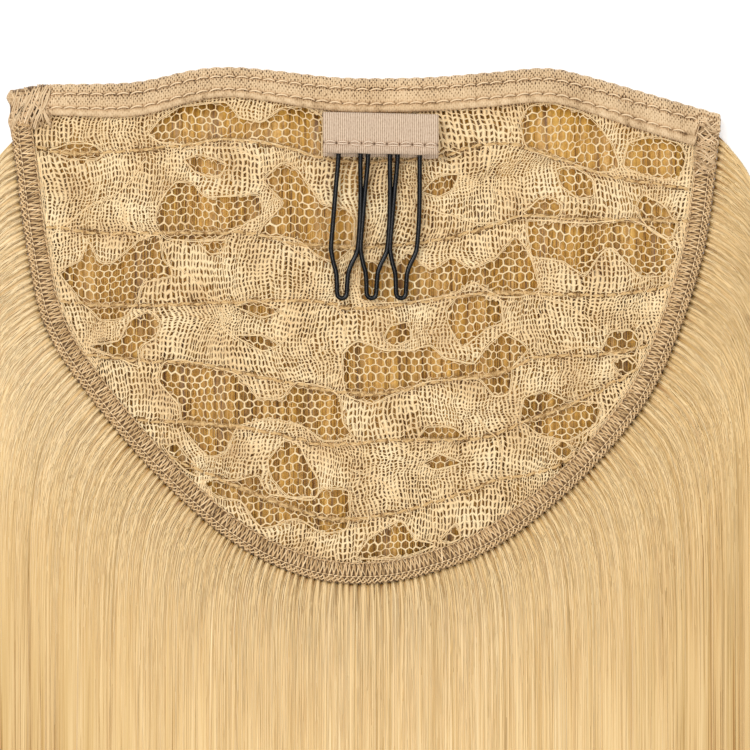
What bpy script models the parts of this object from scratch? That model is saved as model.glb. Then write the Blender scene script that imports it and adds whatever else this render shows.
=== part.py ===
"""A clip-in ponytail extension, lying on its hair with the inside of its lace base facing up.

Metres, +Z up. The hair runs towards -Y. The pieces are modelled from the middle of the base's top
edge, and a parent empty then sets the origin at the middle of the bounding box's underside.
"""

import math
import random

import bmesh
import bpy
import numpy as np

# The base
BASE_WIDTH = 0.136
BASE_DEPTH = 0.096
BAND_WIDTH = 0.0064
BAND_FOLD = 0.0010
SERGING_WIDTH = 0.0039
SERGING_FOLD = 0.0014
CLOTH_WALL = 0.0010
LACE_THICKNESS = 0.0010
LACE_PUFF = 0.0005
EDGE_ROUNDING = 0.0007
CLEARANCE = 0.0003

# The tab and the comb
TAB_LENGTH = 0.0078
TAB_BACK_EXTRA = 0.0008
TAB_OFFSET = 0.0026
COMB_OFFSET = 0.0023
WIRE_DIAMETER = 0.0007
COMB_REACH = 0.0273
LOOP_COUNT = 3
LOOP_PITCH = 0.0056
LOOP_WIDTH = 0.0051
LOOP_LEAN = 0.0014
TAB_OVERHANG = 0.00255
SPINE_DEPTH = 0.0050
TAB_WIDTH = LOOP_COUNT * LOOP_PITCH + 2 * TAB_OVERHANG

# The hair
HAIR_LENGTH = 0.400
TRACK_WIDTH = 0.0022
TRACK_THICKNESS = 0.0010
PILE_WIDTH = 0.130
PILE_TIP_WIDTH = 0.112
PILE_AT_BAND = 0.0025
PILE_AT_EDGE = 0.0050
PILE_AT_TIPS = 0.0016
PILE_SIDE = 0.0008
PILE_START = 0.0030
PILE_LOCK_WIDTH = 0.0085
PILE_LOCK_DEPTH = 0.0006
EDGE_SPREAD = 0.0145
EDGE_ROOT_THICKNESS = 0.0009
EDGE_THICKNESS = 0.0017
EDGE_TIP_THICKNESS = 0.0006
EDGE_LOCK_DEPTH = 0.0007
EDGE_LOCK_WIDTH = 0.0084
EDGE_UNDER_GAP = 0.0005
SIDE_MARGIN = 0.0045
SIDE_DROP = 0.0060
TIP_NOTCH = 0.013
TIP_SCATTER = 0.009
TIP_ROUNDING = 0.030
ROOT_TURN_AT_SIDE = 0.25
CORNER_DROOP = math.radians(13)
CORNER_REACH = 0.006

# Levels above the hair, for the layers of the base
BACK_BOTTOM = CLEARANCE
BACK_TOP = BACK_BOTTOM + CLOTH_WALL
LACE_BOTTOM = CLEARANCE + max(CLOTH_WALL, TRACK_THICKNESS) + CLEARANCE
LACE_TOP = LACE_BOTTOM + LACE_THICKNESS
FRONT_BOTTOM = LACE_TOP + CLEARANCE
FRONT_TOP = FRONT_BOTTOM + CLOTH_WALL

# Outer line of the U, from its left top end round to its right one. It starts below the band's
# left end, and its right end closes the band's.
# Columns: across as a share of half the base's width, down as a share of its depth.
U_OUTLINE = [
    (-1.006, 0.050),
    (-0.985, 0.170),
    (-0.955, 0.330),
    (-0.903, 0.490),
    (-0.780, 0.627),
    (-0.590, 0.784),
    (-0.385, 0.913),
    (-0.190, 0.982),
    (0.000, 1.000),
    (0.190, 0.976),
    (0.380, 0.918),
    (0.590, 0.800),
    (0.770, 0.653),
    (0.870, 0.510),
    (0.937, 0.363),
    (0.968, 0.236),
    (0.992, 0.076),
]

# The band, from left to right. Columns: across and down to its top edge, as above, and its width
# as a share of BAND_WIDTH.
BAND_SECTIONS = [
    (-1.000, 0.024, 0.87),
    (-0.900, 0.012, 0.90),
    (-0.660, 0.008, 1.00),
    (-0.490, -0.016, 0.93),
    (-0.390, -0.022, 0.87),
    (-0.270, -0.016, 0.92),
    (-0.075, -0.001, 1.00),
    (0.148, -0.001, 1.00),
    (0.340, -0.011, 1.00),
    (0.500, -0.020, 1.00),
    (0.608, -0.006, 1.05),
    (0.760, 0.024, 1.13),
    (0.990, 0.071, 1.15),
]

# The weft rows, from the top one down, each from left to right. Columns: across, down, as above.
WEFT_ROWS = [
    [(-0.95, 0.130), (-0.81, 0.147), (-0.52, 0.133), (-0.42, 0.121), (-0.26, 0.131), (-0.13, 0.157),
     (0.00, 0.164), (0.20, 0.153), (0.37, 0.127), (0.54, 0.159), (0.65, 0.188), (0.95, 0.225)],
    [(-0.96, 0.287), (-0.73, 0.306), (-0.35, 0.306), (-0.19, 0.329), (0.04, 0.333), (0.25, 0.312),
     (0.44, 0.274), (0.58, 0.277), (0.95, 0.282)],
    [(-0.95, 0.438), (-0.66, 0.450), (-0.20, 0.440), (-0.05, 0.455), (0.05, 0.452), (0.20, 0.437),
     (0.37, 0.425), (0.68, 0.429), (0.92, 0.402)],
    [(-0.88, 0.540), (-0.63, 0.560), (-0.48, 0.564), (-0.35, 0.584), (-0.08, 0.621), (0.06, 0.623),
     (0.20, 0.601), (0.37, 0.584), (0.48, 0.552), (0.65, 0.548), (0.85, 0.522)],
    [(-0.74, 0.676), (-0.47, 0.684), (-0.30, 0.698), (-0.12, 0.726), (0.06, 0.718), (0.31, 0.713),
     (0.43, 0.684), (0.58, 0.643), (0.78, 0.570)],
    [(-0.60, 0.735), (-0.40, 0.798), (-0.21, 0.851), (-0.07, 0.875), (0.09, 0.859), (0.23, 0.832),
     (0.37, 0.796), (0.48, 0.782), (0.64, 0.735)],
]

# One loop of the comb, from the tab down. Columns: down as a share of COMB_REACH, half width as a
# share of half LOOP_WIDTH, sideways shift as a share of LOOP_LEAN.
LOOP_SECTIONS = [
    (0.00, 0.84, 0.00),
    (0.27, 0.95, 0.22),
    (0.47, 1.00, 0.43),
    (0.64, 1.00, 0.69),
    (0.71, 0.90, 0.80),
    (0.80, 0.56, 1.00),
    (0.89, 0.46, 1.02),
    (0.96, 0.36, 1.04),
]

# How finely the shapes are divided
CURVE_STEPS = 12
FINE_STATIONS = 240
SERGING_STATIONS = 58
BAND_STATIONS = 34
LACE_COLUMNS = 32
TRACK_STATIONS = 18
PILE_ROWS = 12
EDGE_ROWS = 11
SAMPLES_PER_LOCK = 3
LOOP_STATIONS = 30


def clear_scene():
    for obj in list(bpy.data.objects):
        bpy.data.objects.remove(obj, do_unlink=True)


def finish(name, colour, roughness, metallic=0.0):
    """A Principled material; the colour is linear RGB."""
    material = bpy.data.materials.new(name)
    material.use_nodes = True
    shader = material.node_tree.nodes["Principled BSDF"]
    shader.inputs["Base Color"].default_value = (*colour, 1.0)
    shader.inputs["Roughness"].default_value = roughness
    shader.inputs["Metallic"].default_value = metallic
    return material


def add_mesh(name, points, faces, material):
    """A closed mesh object, its faces turned outwards."""
    mesh = bpy.data.meshes.new(name)
    mesh.from_pydata([tuple(point) for point in points], [], faces)
    shape = bmesh.new()
    shape.from_mesh(mesh)
    bmesh.ops.recalc_face_normals(shape, faces=shape.faces)
    shape.to_mesh(mesh)
    shape.free()
    mesh.shade_smooth()
    mesh.set_sharp_from_angle(angle=math.radians(40))
    mesh.materials.append(material)
    obj = bpy.data.objects.new(name, mesh)
    bpy.context.scene.collection.objects.link(obj)
    return obj


def smooth_step(value):
    value = np.clip(value, 0.0, 1.0)
    return value * value * (3 - 2 * value)


def between(before, start, end, after, share):
    """A point of the Catmull-Rom curve from start to end."""
    return 0.5 * (
        2 * start
        + (end - before) * share
        + (2 * before - 5 * start + 4 * end - after) * share**2
        + (3 * start - before - 3 * end + after) * share**3
    )


def smooth_curve(rows, count):
    """Samples of the smooth curve through a table's rows, evenly spaced by its first two columns."""
    rows = np.array(rows, float)
    rows = np.vstack([2 * rows[0] - rows[1], rows, 2 * rows[-1] - rows[-2]])
    fine = []
    for i in range(1, len(rows) - 2):
        for step in range(CURVE_STEPS):
            fine.append(between(*rows[i - 1:i + 3], step / CURVE_STEPS))
    fine.append(rows[-2])
    return spaced(np.array(fine), count)


def spaced(curve, count):
    """The curve again with count points, evenly spaced."""
    steps = np.hypot(*np.diff(curve[:, :2], axis=0).T)
    run = np.concatenate([[0.0], np.cumsum(steps)])
    wanted = np.linspace(0.0, run[-1], count)
    return np.column_stack([np.interp(wanted, run, column) for column in curve.T])


def on_base(table):
    """A table's first two columns, from shares of the base to metres."""
    placed = np.array(table, float)
    placed[:, 0] *= BASE_WIDTH / 2
    placed[:, 1] *= -BASE_DEPTH
    return placed


def right_of(path):
    """Unit vectors to the right of a path, seen from above."""
    along = np.gradient(path[:, :2], axis=0)
    along /= np.hypot(*along.T)[:, None]
    return np.column_stack([along[:, 1], -along[:, 0]])


def band_curve():
    """The band's top edge and its width along it, finely divided."""
    return smooth_curve(on_base(BAND_SECTIONS), FINE_STATIONS)


def band_top_at(x):
    curve = band_curve()
    return np.interp(x, curve[:, 0], curve[:, 1])


def band_bottom_at(x):
    curve = band_curve()
    return np.interp(x, curve[:, 0], curve[:, 1] - curve[:, 2] * BAND_WIDTH)


def u_line(count):
    """The U's outer line and its outward unit vectors."""
    line = smooth_curve(on_base(U_OUTLINE), FINE_STATIONS)
    inner = line - right_of(line) * SERGING_WIDTH
    outer_below = line[:, 1] < band_bottom_at(line[:, 0]) - CLEARANCE
    inner_below = inner[:, 1] < band_bottom_at(inner[:, 0]) - CLEARANCE
    clear = (line[:, 0] > 0) | (outer_below & inner_below)
    line = spaced(line[clear], count)
    return line, right_of(line)


def band_line(count):
    """The band's top edge, cut off where it meets the U's right arm."""
    line, outward = u_line(FINE_STATIONS)
    inner = line - outward * (SERGING_WIDTH + CLEARANCE)
    meets = (line[:, 0] > 0) & (inner[:, 1] > band_bottom_at(inner[:, 0]) - CLEARANCE)
    curve = band_curve()
    return spaced(curve[curve[:, 0] < np.min(inner[meets, 0])], count)


def distance_to(line, points):
    """The distance from each point to the nearest point of a finely divided line."""
    apart = points[:, None, :2] - line[None, :, :2]
    return np.min(np.hypot(apart[..., 0], apart[..., 1]), axis=1)


def pile_half_width(y):
    share = np.clip(-y / HAIR_LENGTH, 0.0, 1.0)
    return 0.5 * (PILE_WIDTH + (PILE_TIP_WIDTH - PILE_WIDTH) * share)


def pile_height(x, y):
    """The height of the hair under the base and below it: each weft row adds to it down to the
    base's lower edge, then it thins out towards the tips."""
    down = -y / BASE_DEPTH
    below = (-y - BASE_DEPTH) / (HAIR_LENGTH - BASE_DEPTH)
    under_base = PILE_AT_EDGE - (PILE_AT_EDGE - PILE_AT_BAND) * (1 - down) ** 2
    past_base = PILE_AT_EDGE - (PILE_AT_EDGE - PILE_AT_TIPS) * np.clip(below, 0.0, 1.0) ** 2
    middle = np.where(down < 1, under_base, past_base)
    across = np.clip(np.abs(x) / pile_half_width(y), 0.0, 1.0)
    return PILE_SIDE + (middle - PILE_SIDE) * (1 - across**2)


def raised(points, level):
    """Plan points set at a level above the hair."""
    return np.column_stack([points[:, 0], points[:, 1], pile_height(points[:, 0], points[:, 1]) + level])


def swept(name, rings, material):
    """A closed mesh through rings of as many points each, with a face at each end."""
    sides = len(rings[0])
    points = np.vstack(rings)
    faces = [tuple(range(sides)), tuple(range(len(points) - sides, len(points)))]
    for ring in range(len(rings) - 1):
        for side in range(sides):
            beside = (side + 1) % sides
            start = ring * sides
            faces.append((start + side, start + beside, start + sides + beside, start + sides + side))
    return add_mesh(name, points, faces, material)


def grid_faces(columns, rows, first=0):
    faces = []
    for i in range(columns - 1):
        for j in range(rows - 1):
            corner = first + i * rows + j
            faces.append((corner, corner + 1, corner + rows + 1, corner + rows))
    return faces


def grid_border(columns, rows):
    """The border points of a grid, in order round it."""
    border = [j for j in range(rows)]
    border += [i * rows + rows - 1 for i in range(1, columns)]
    border += [(columns - 1) * rows + j for j in range(rows - 2, -1, -1)]
    border += [i * rows for i in range(columns - 2, 0, -1)]
    return border


def sheet(name, upper, lower, material):
    """A closed mesh between two grids of the same size, each columns by rows by 3."""
    columns, rows = upper.shape[:2]
    count = columns * rows
    points = np.vstack([upper.reshape(-1, 3), lower.reshape(-1, 3)])
    faces = grid_faces(columns, rows) + grid_faces(columns, rows, count)
    border = grid_border(columns, rows)
    for here, there in zip(border, border[1:] + border[:1]):
        faces.append((here, there, count + there, count + here))
    return add_mesh(name, points, faces, material)


def slab(name, upper, material):
    """A closed mesh from a grid down to one flat face on the floor."""
    columns, rows = upper.shape[:2]
    border = grid_border(columns, rows)
    points = upper.reshape(-1, 3)
    foot = points[border] * (1, 1, 0)
    count = len(points)
    faces = grid_faces(columns, rows)
    faces.append(tuple(range(count, count + len(border))))
    for i, here in enumerate(border):
        after = (i + 1) % len(border)
        faces.append((here, border[after], count + after, count + i))
    return add_mesh(name, np.vstack([points, foot]), faces, material)


def channel(name, outer, inward, widths, fold, material):
    """Cloth folded over an edge: two walls joined along the outer line, open along the inner one."""
    rounding = min(EDGE_ROUNDING, fold)
    rings = []
    for i, point in enumerate(outer[:, :2]):
        width = widths[i]
        profile = [
            (width, BACK_BOTTOM),
            (rounding, BACK_BOTTOM),
            (0.0, BACK_BOTTOM + rounding),
            (0.0, FRONT_TOP - rounding),
            (rounding, FRONT_TOP),
            (width, FRONT_TOP),
            (width, FRONT_BOTTOM),
            (fold, FRONT_BOTTOM),
            (fold, BACK_TOP),
            (width, BACK_TOP),
        ]
        depths = np.array([depth for depth, _ in profile])
        levels = np.array([level for _, level in profile])
        rings.append(raised(point + inward[i] * depths[:, None], levels))
    return swept(name, rings, material)


def make_top_band(material):
    sections = band_line(BAND_STATIONS)
    down = np.tile([0.0, -1.0], (BAND_STATIONS, 1))
    return channel("top_band", sections, down, sections[:, 2] * BAND_WIDTH, BAND_FOLD, material)


def make_serged_edge(material):
    line, outward = u_line(SERGING_STATIONS)
    widths = np.full(SERGING_STATIONS, SERGING_WIDTH)
    return channel("serged_edge", line, -outward, widths, SERGING_FOLD, material)


def row_depths(x):
    """How far down each weft row lies at each x, one array a row, from the top one."""
    depths = []
    for row in WEFT_ROWS:
        curve = smooth_curve(on_base(row), 4 * CURVE_STEPS)
        depths.append(np.interp(x, curve[:, 0], curve[:, 1]))
    return depths


def lace_puff(points, edge):
    """How far the lace rises between the rows that hold it down."""
    x, y = points[:, 0], points[:, 1]
    levels = [np.zeros(len(x)), *row_depths(x), np.full(len(x), -BASE_DEPTH)]
    puff = np.zeros(len(x))
    for above, below in zip(levels, levels[1:]):
        share = (above - y) / np.maximum(above - below, CLEARANCE)
        inside = (share > 0) & (share < 1)
        puff[inside] = np.sin(math.pi * share[inside]) ** 2
    fade = smooth_step((distance_to(edge, points) - SERGING_WIDTH) / SERGING_WIDTH)
    fade *= smooth_step((-y - 2 * BAND_WIDTH) / BAND_WIDTH)
    return LACE_PUFF * puff * fade


def make_lace_base(material):
    """The lace runs from the band's fold to the U's fold, in columns that fan out."""
    inset = BAND_FOLD + CLEARANCE
    top = band_line(FINE_STATIONS)
    inner = (top[:, 0] > top[0, 0] + 2 * inset) & (top[:, 0] < top[-1, 0] - CLEARANCE)
    top = spaced(top[inner], LACE_COLUMNS + 1)[:, :2] - (0.0, inset)
    line, outward = u_line(LACE_COLUMNS + 1)
    bottom = line - outward * (SERGING_FOLD + CLEARANCE)

    held = [0.0] + [float(depth[0]) / -BASE_DEPTH for depth in row_depths(np.zeros(1))] + [1.0]
    shares = [0.0]
    for above, below in zip(held, held[1:]):
        shares += [(above + below) / 2, below]

    shares = np.array(shares)[None, :, None]
    plan = top[:, None] * (1 - shares) + bottom[:, None] * shares
    points = plan.reshape(-1, 2)
    edge, _ = u_line(FINE_STATIONS)
    puff = lace_puff(points, edge)
    upper = raised(points, LACE_TOP + puff).reshape(*plan.shape[:2], 3)
    lower = raised(points, LACE_BOTTOM + puff).reshape(*plan.shape[:2], 3)
    return sheet("lace_base", upper, lower, material)


def make_weft_track(number, row, material):
    """A row's strip, cut off where the overlocked edge begins."""
    edge, _ = u_line(FINE_STATIONS)
    path = smooth_curve(on_base(row), 8 * CURVE_STEPS)
    clear = distance_to(edge, path) > SERGING_WIDTH + TRACK_WIDTH
    path = spaced(path[clear], TRACK_STATIONS)
    right = right_of(path)
    half = TRACK_WIDTH / 2
    rings = []
    for point, side in zip(path, right):
        corners = point + side * half * np.array([[-1.0], [1.0], [1.0], [-1.0]])
        levels = CLEARANCE + TRACK_THICKNESS * np.array([0.0, 0.0, 1.0, 1.0])
        rings.append(raised(corners, levels))
    return swept(f"weft_track_{number}", rings, material)


def tab_top():
    """The tab's upper end, just below the band."""
    corners = np.array([TAB_OFFSET - TAB_WIDTH / 2, TAB_OFFSET, TAB_OFFSET + TAB_WIDTH / 2])
    return float(np.min(band_bottom_at(corners))) - CLEARANCE


def tab_level():
    """The tab's underside, clear of the lace all along it."""
    low_end = tab_top() - TAB_LENGTH
    return float(pile_height(TAB_OFFSET, low_end)) + LACE_TOP + LACE_PUFF + CLEARANCE


def make_comb_tab(material):
    """A ribbon folded at its upper end, open below and at the sides, its back layer a little longer."""
    top = tab_top()
    low = tab_level()
    slot = WIRE_DIAMETER + 2 * CLEARANCE
    high = low + 2 * CLOTH_WALL + slot
    front_end = top - TAB_LENGTH
    back_end = front_end - TAB_BACK_EXTRA
    profile = [
        (back_end, low),
        (top, low),
        (top, high),
        (front_end, high),
        (front_end, high - CLOTH_WALL),
        (top - CLOTH_WALL, high - CLOTH_WALL),
        (top - CLOTH_WALL, low + CLOTH_WALL),
        (back_end, low + CLOTH_WALL),
    ]
    rings = []
    for x in (TAB_OFFSET - TAB_WIDTH / 2, TAB_OFFSET + TAB_WIDTH / 2):
        rings.append(np.array([(x, y, z) for y, z in profile]))
    return swept("comb_tab", rings, material)


def loop_plan(centre, start):
    """Plan points of one loop, down its left leg, round its tip and up its right leg."""
    left, right = [], []
    for down, half, shift in LOOP_SECTIONS:
        x = centre - shift * LOOP_LEAN
        y = start - down * COMB_REACH
        left.append((x - half * LOOP_WIDTH / 2, y))
        right.append((x + half * LOOP_WIDTH / 2, y))
    _, half, shift = LOOP_SECTIONS[-1]
    tip = (centre - shift * LOOP_LEAN, start - COMB_REACH)
    return left + [tip] + right[::-1]


def make_wire_comb(material):
    """One wire: its loops are joined by short bends in the tab, and its ends turn in there."""
    start = tab_top() - TAB_LENGTH
    spine = start + SPINE_DEPTH
    centres = [COMB_OFFSET + (i - (LOOP_COUNT - 1) / 2) * LOOP_PITCH for i in range(LOOP_COUNT)]
    top_half = LOOP_SECTIONS[0][1] * LOOP_WIDTH / 2
    turn = spine - WIRE_DIAMETER
    first, last = centres[0] - top_half, centres[-1] + top_half
    plan = [(first + 2 * WIRE_DIAMETER, spine), (first, turn)]
    for centre in centres:
        plan += loop_plan(centre, start)
        if centre != centres[-1]:
            next_leg = centre + LOOP_PITCH - top_half
            plan.append(((centre + top_half + next_leg) / 2, spine))
    plan += [(last, turn), (last - 2 * WIRE_DIAMETER, spine)]
    path = smooth_curve(plan, LOOP_COUNT * LOOP_STATIONS)

    in_tab = tab_level() + CLOTH_WALL + CLEARANCE + WIRE_DIAMETER / 2
    at_tip = raised(path, LACE_TOP + LACE_PUFF + CLEARANCE + WIRE_DIAMETER / 2)[:, 2]
    share = smooth_step((start - TAB_BACK_EXTRA - path[:, 1]) / COMB_REACH)
    heights = in_tab * (1 - share) + np.minimum(at_tip, in_tab) * share

    curve = bpy.data.curves.new("wire_comb", "CURVE")
    curve.dimensions = "3D"
    curve.bevel_depth = WIRE_DIAMETER / 2
    curve.bevel_resolution = 1
    curve.use_fill_caps = True
    spline = curve.splines.new("POLY")
    spline.points.add(len(path) - 1)
    for knot, (x, y), z in zip(spline.points, path, heights):
        knot.co = (x, y, z, 1.0)
    curve.materials.append(material)
    obj = bpy.data.objects.new("wire_comb", curve)
    bpy.context.scene.collection.objects.link(obj)
    return obj


def lock_dip(index):
    """1 in the valley between two locks and 0 on the locks, for a column's number."""
    return np.where(np.asarray(index) % SAMPLES_PER_LOCK == 0, 1.0, 0.0)


def tip_line(x, chance, columns):
    """How far down the hair ends at each column: lock by lock, a little uneven, shorter at the sides."""
    lengths = []
    scatter = 0.0
    for i in range(columns):
        if i % SAMPLES_PER_LOCK == 0:
            scatter = chance.uniform(0.0, TIP_SCATTER)
        lengths.append(TIP_NOTCH * float(lock_dip(i)) + scatter)
    outward = np.abs(x) / np.max(np.abs(x))
    return -HAIR_LENGTH + np.array(lengths) + TIP_ROUNDING * outward**2


def make_weft_hair(material):
    """The pile of straight hair from the weft rows, flat where it rests."""
    locks = round(PILE_WIDTH / PILE_LOCK_WIDTH)
    columns = locks * SAMPLES_PER_LOCK + 1
    across = np.linspace(-1.0, 1.0, columns)
    top = band_top_at(across * PILE_WIDTH / 2) - PILE_START
    tips = tip_line(across, random.Random(11), columns) + TIP_SCATTER
    upper = np.zeros((columns, PILE_ROWS + 1, 3))
    for j in range(PILE_ROWS + 1):
        y = top + (tips - top) * (j / PILE_ROWS) ** 1.2
        x = across * pile_half_width(y)
        dip = np.minimum(PILE_LOCK_DEPTH, pile_height(x, y) / 2) * lock_dip(np.arange(columns))
        upper[:, j] = np.column_stack([x, y, pile_height(x, y) - dip])
    return slab("weft_hair", upper, material)


def edge_underside(x, y):
    """Just above the pile, and down on the floor beside it."""
    beside = (np.abs(x) - pile_half_width(y) - SIDE_MARGIN) / SIDE_DROP
    return (pile_height(x, y) + EDGE_UNDER_GAP) * (1 - smooth_step(beside))


def root_angles(outward, run):
    """The hair's angle from straight down where it leaves the edge, with a droop at the corners."""
    turned = np.arctan2(np.abs(outward[:, 0]), -outward[:, 1])
    side_on = turned / np.max(turned)
    angle = turned * (1 - ROOT_TURN_AT_SIDE * side_on**3)
    from_end = np.minimum(run, run[-1] - run)
    return angle - CORNER_DROOP * np.exp(-from_end / CORNER_REACH)


def make_edge_hair(material):
    """The hair of the U edge: each column is a strand that leaves outwards and turns straight down."""
    length = np.sum(np.hypot(*np.diff(u_line(SERGING_STATIONS)[0], axis=0).T))
    locks = round(length / EDGE_LOCK_WIDTH)
    columns = locks * SAMPLES_PER_LOCK + 1
    line, outward = u_line(columns)
    root = line + outward * CLEARANCE
    run = np.linspace(0.0, length, columns)
    half = np.max(np.abs(root[:, 0]))
    spread = EDGE_SPREAD * (np.abs(root[:, 0]) / half) ** 1.5
    fall = np.maximum(spread / np.maximum(np.tan(root_angles(outward, run)), 0.01), CLEARANCE)
    side = np.sign(root[:, 0])
    tips = tip_line(root[:, 0] + side * spread, random.Random(5), columns)
    upper = np.zeros((columns, EDGE_ROWS + 1, 3))
    lower = np.zeros((columns, EDGE_ROWS + 1, 3))
    dips = EDGE_LOCK_DEPTH * lock_dip(np.arange(columns))
    outer_share = np.abs(root[:, 0] / half) ** 4
    for j in range(EDGE_ROWS + 1):
        share = j / EDGE_ROWS
        y = root[:, 1] + (tips - root[:, 1]) * share**2
        x = root[:, 0] + side * spread * (1 - np.exp((y - root[:, 1]) / fall))
        grown = min(4 * share, 1.0)
        thickness = EDGE_ROOT_THICKNESS + (EDGE_THICKNESS - EDGE_ROOT_THICKNESS) * grown
        thickness += (EDGE_TIP_THICKNESS - EDGE_THICKNESS) * share**3
        bottom = edge_underside(x, y)
        top = bottom + np.maximum(thickness - dips * grown * (1 - share**3), EDGE_TIP_THICKNESS)
        top += (1 - share) * outer_share * grown * EDGE_TIP_THICKNESS
        lower[:, j] = np.column_stack([x, y, bottom])
        upper[:, j] = np.column_stack([x, y, top])
    return sheet("edge_hair", upper, lower, material)


def set_origin(pieces):
    """Parents the pieces to an empty that brings the middle of their box's underside to the origin."""
    meshes = [piece.data for piece in pieces if piece.type == "MESH"]
    points = np.array([vertex.co for mesh in meshes for vertex in mesh.vertices])
    low, high = points.min(axis=0), points.max(axis=0)
    holder = bpy.data.objects.new("ponytail_origin", None)
    holder.location = (-(low[0] + high[0]) / 2, -(low[1] + high[1]) / 2, -low[2])
    bpy.context.scene.collection.objects.link(holder)
    for piece in pieces:
        piece.parent = holder


def main():
    clear_scene()
    hair = finish("blonde_hair", (0.76, 0.53, 0.25), 0.45)
    lace = finish("beige_lace", (0.80, 0.58, 0.32), 0.8)
    tape = finish("beige_tape", (0.63, 0.43, 0.23), 0.8)
    ribbon = finish("pale_ribbon", (0.67, 0.50, 0.35), 0.75)
    thread = finish("taupe_thread", (0.46, 0.29, 0.15), 0.8)
    wire = finish("black_wire", (0.01, 0.01, 0.01), 0.3)
    pieces = [
        make_lace_base(lace),
        make_top_band(tape),
        make_serged_edge(thread),
        make_comb_tab(ribbon),
        make_wire_comb(wire),
        make_weft_hair(hair),
        make_edge_hair(hair),
    ]
    for number, row in enumerate(WEFT_ROWS, start=1):
        pieces.append(make_weft_track(number, row, hair))
    set_origin(pieces)


main()
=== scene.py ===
# The looks of a clip-in ponytail extension: a lace base with its inside up, lying on its hair.
# Plan points are in the base's own frame, as in the solids: metres from the middle of the base's
# top edge, down the hair along -Y. Heights are above the surface that the hair lies on.
import math
from collections import namedtuple

import bpy
import numpy as np
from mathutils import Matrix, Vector


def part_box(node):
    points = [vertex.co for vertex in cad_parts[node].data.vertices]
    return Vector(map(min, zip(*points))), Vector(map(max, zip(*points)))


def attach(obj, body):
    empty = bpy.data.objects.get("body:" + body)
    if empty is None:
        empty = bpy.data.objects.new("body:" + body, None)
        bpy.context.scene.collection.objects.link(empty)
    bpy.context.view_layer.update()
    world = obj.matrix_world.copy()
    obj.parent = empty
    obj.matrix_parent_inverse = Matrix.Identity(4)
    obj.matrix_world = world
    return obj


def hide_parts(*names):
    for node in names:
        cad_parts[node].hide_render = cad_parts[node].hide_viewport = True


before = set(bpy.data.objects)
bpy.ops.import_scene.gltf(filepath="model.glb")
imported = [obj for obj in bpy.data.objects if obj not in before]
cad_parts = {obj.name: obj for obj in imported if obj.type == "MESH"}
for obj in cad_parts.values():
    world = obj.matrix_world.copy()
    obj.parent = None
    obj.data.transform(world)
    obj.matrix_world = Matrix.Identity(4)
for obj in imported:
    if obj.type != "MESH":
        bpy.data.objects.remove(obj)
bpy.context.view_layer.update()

# The base, as in the solids
BASE_WIDTH = 0.136
BASE_DEPTH = 0.096
BAND_WIDTH = 0.0064
BAND_FOLD = 0.0010
SERGING_WIDTH = 0.0039
SERGING_FOLD = 0.0014
CLOTH_WALL = 0.0010
LACE_PUFF = 0.0005
EDGE_ROUNDING = 0.0007
CLEARANCE = 0.0003
BACK_BOTTOM = CLEARANCE
BACK_TOP = BACK_BOTTOM + CLOTH_WALL
LACE_BOTTOM = BACK_TOP + CLEARANCE
LACE_TOP = LACE_BOTTOM + CLOTH_WALL
FRONT_BOTTOM = LACE_TOP + CLEARANCE
FRONT_TOP = FRONT_BOTTOM + CLOTH_WALL

# The tab and the comb, as in the solids
TAB_LENGTH = 0.0078
TAB_BACK_EXTRA = 0.0008
TAB_OFFSET = 0.0026
COMB_OFFSET = 0.0023
WIRE_DIAMETER = 0.0007
COMB_REACH = 0.0273
LOOP_COUNT = 3
LOOP_PITCH = 0.0056
LOOP_WIDTH = 0.0051
LOOP_LEAN = 0.0014
TAB_OVERHANG = 0.00255
SPINE_DEPTH = 0.0050
TAB_WIDTH = LOOP_COUNT * LOOP_PITCH + 2 * TAB_OVERHANG

# The hair, as in the solids
HAIR_LENGTH = 0.400
TRACK_WIDTH = 0.0022
TRACK_THICKNESS = 0.0010
PILE_WIDTH = 0.130
PILE_TIP_WIDTH = 0.112
PILE_AT_BAND = 0.0025
PILE_AT_EDGE = 0.0050
PILE_AT_TIPS = 0.0016
PILE_SIDE = 0.0008
PILE_START = 0.0030
EDGE_SPREAD = 0.0145
EDGE_ROOT_THICKNESS = 0.0009
EDGE_THICKNESS = 0.0017
EDGE_TIP_THICKNESS = 0.0006
EDGE_UNDER_GAP = 0.0005
LOCK_WIDTH = 0.0084
LOCK_DEPTH = 0.0006
SIDE_MARGIN = 0.0045
SIDE_DROP = 0.0060
TIP_NOTCH = 0.013
TIP_SCATTER = 0.009
TIP_ROUNDING = 0.030
ROOT_TURN_AT_SIDE = 0.25
CORNER_DROOP = math.radians(13)
CORNER_REACH = 0.006

# Outer line of the U. Columns: across as a share of half the base's width, down as a share of
# its depth.
U_OUTLINE = [
    (-1.006, 0.050), (-0.985, 0.170), (-0.955, 0.330), (-0.903, 0.490), (-0.780, 0.627),
    (-0.590, 0.784), (-0.385, 0.913), (-0.190, 0.982), (0.000, 1.000), (0.190, 0.976),
    (0.380, 0.918), (0.590, 0.800), (0.770, 0.653), (0.870, 0.510), (0.937, 0.363),
    (0.968, 0.236), (0.992, 0.076),
]

# The band. Columns: across and down to its top edge, as above, and its width as a share of
# BAND_WIDTH.
BAND_SECTIONS = [
    (-1.000, 0.024, 0.87), (-0.900, 0.012, 0.90), (-0.660, 0.008, 1.00), (-0.490, -0.016, 0.93),
    (-0.390, -0.022, 0.87), (-0.270, -0.016, 0.92), (-0.075, -0.001, 1.00), (0.148, -0.001, 1.00),
    (0.340, -0.011, 1.00), (0.500, -0.020, 1.00), (0.608, -0.006, 1.05), (0.760, 0.024, 1.13),
    (0.990, 0.071, 1.15),
]

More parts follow.
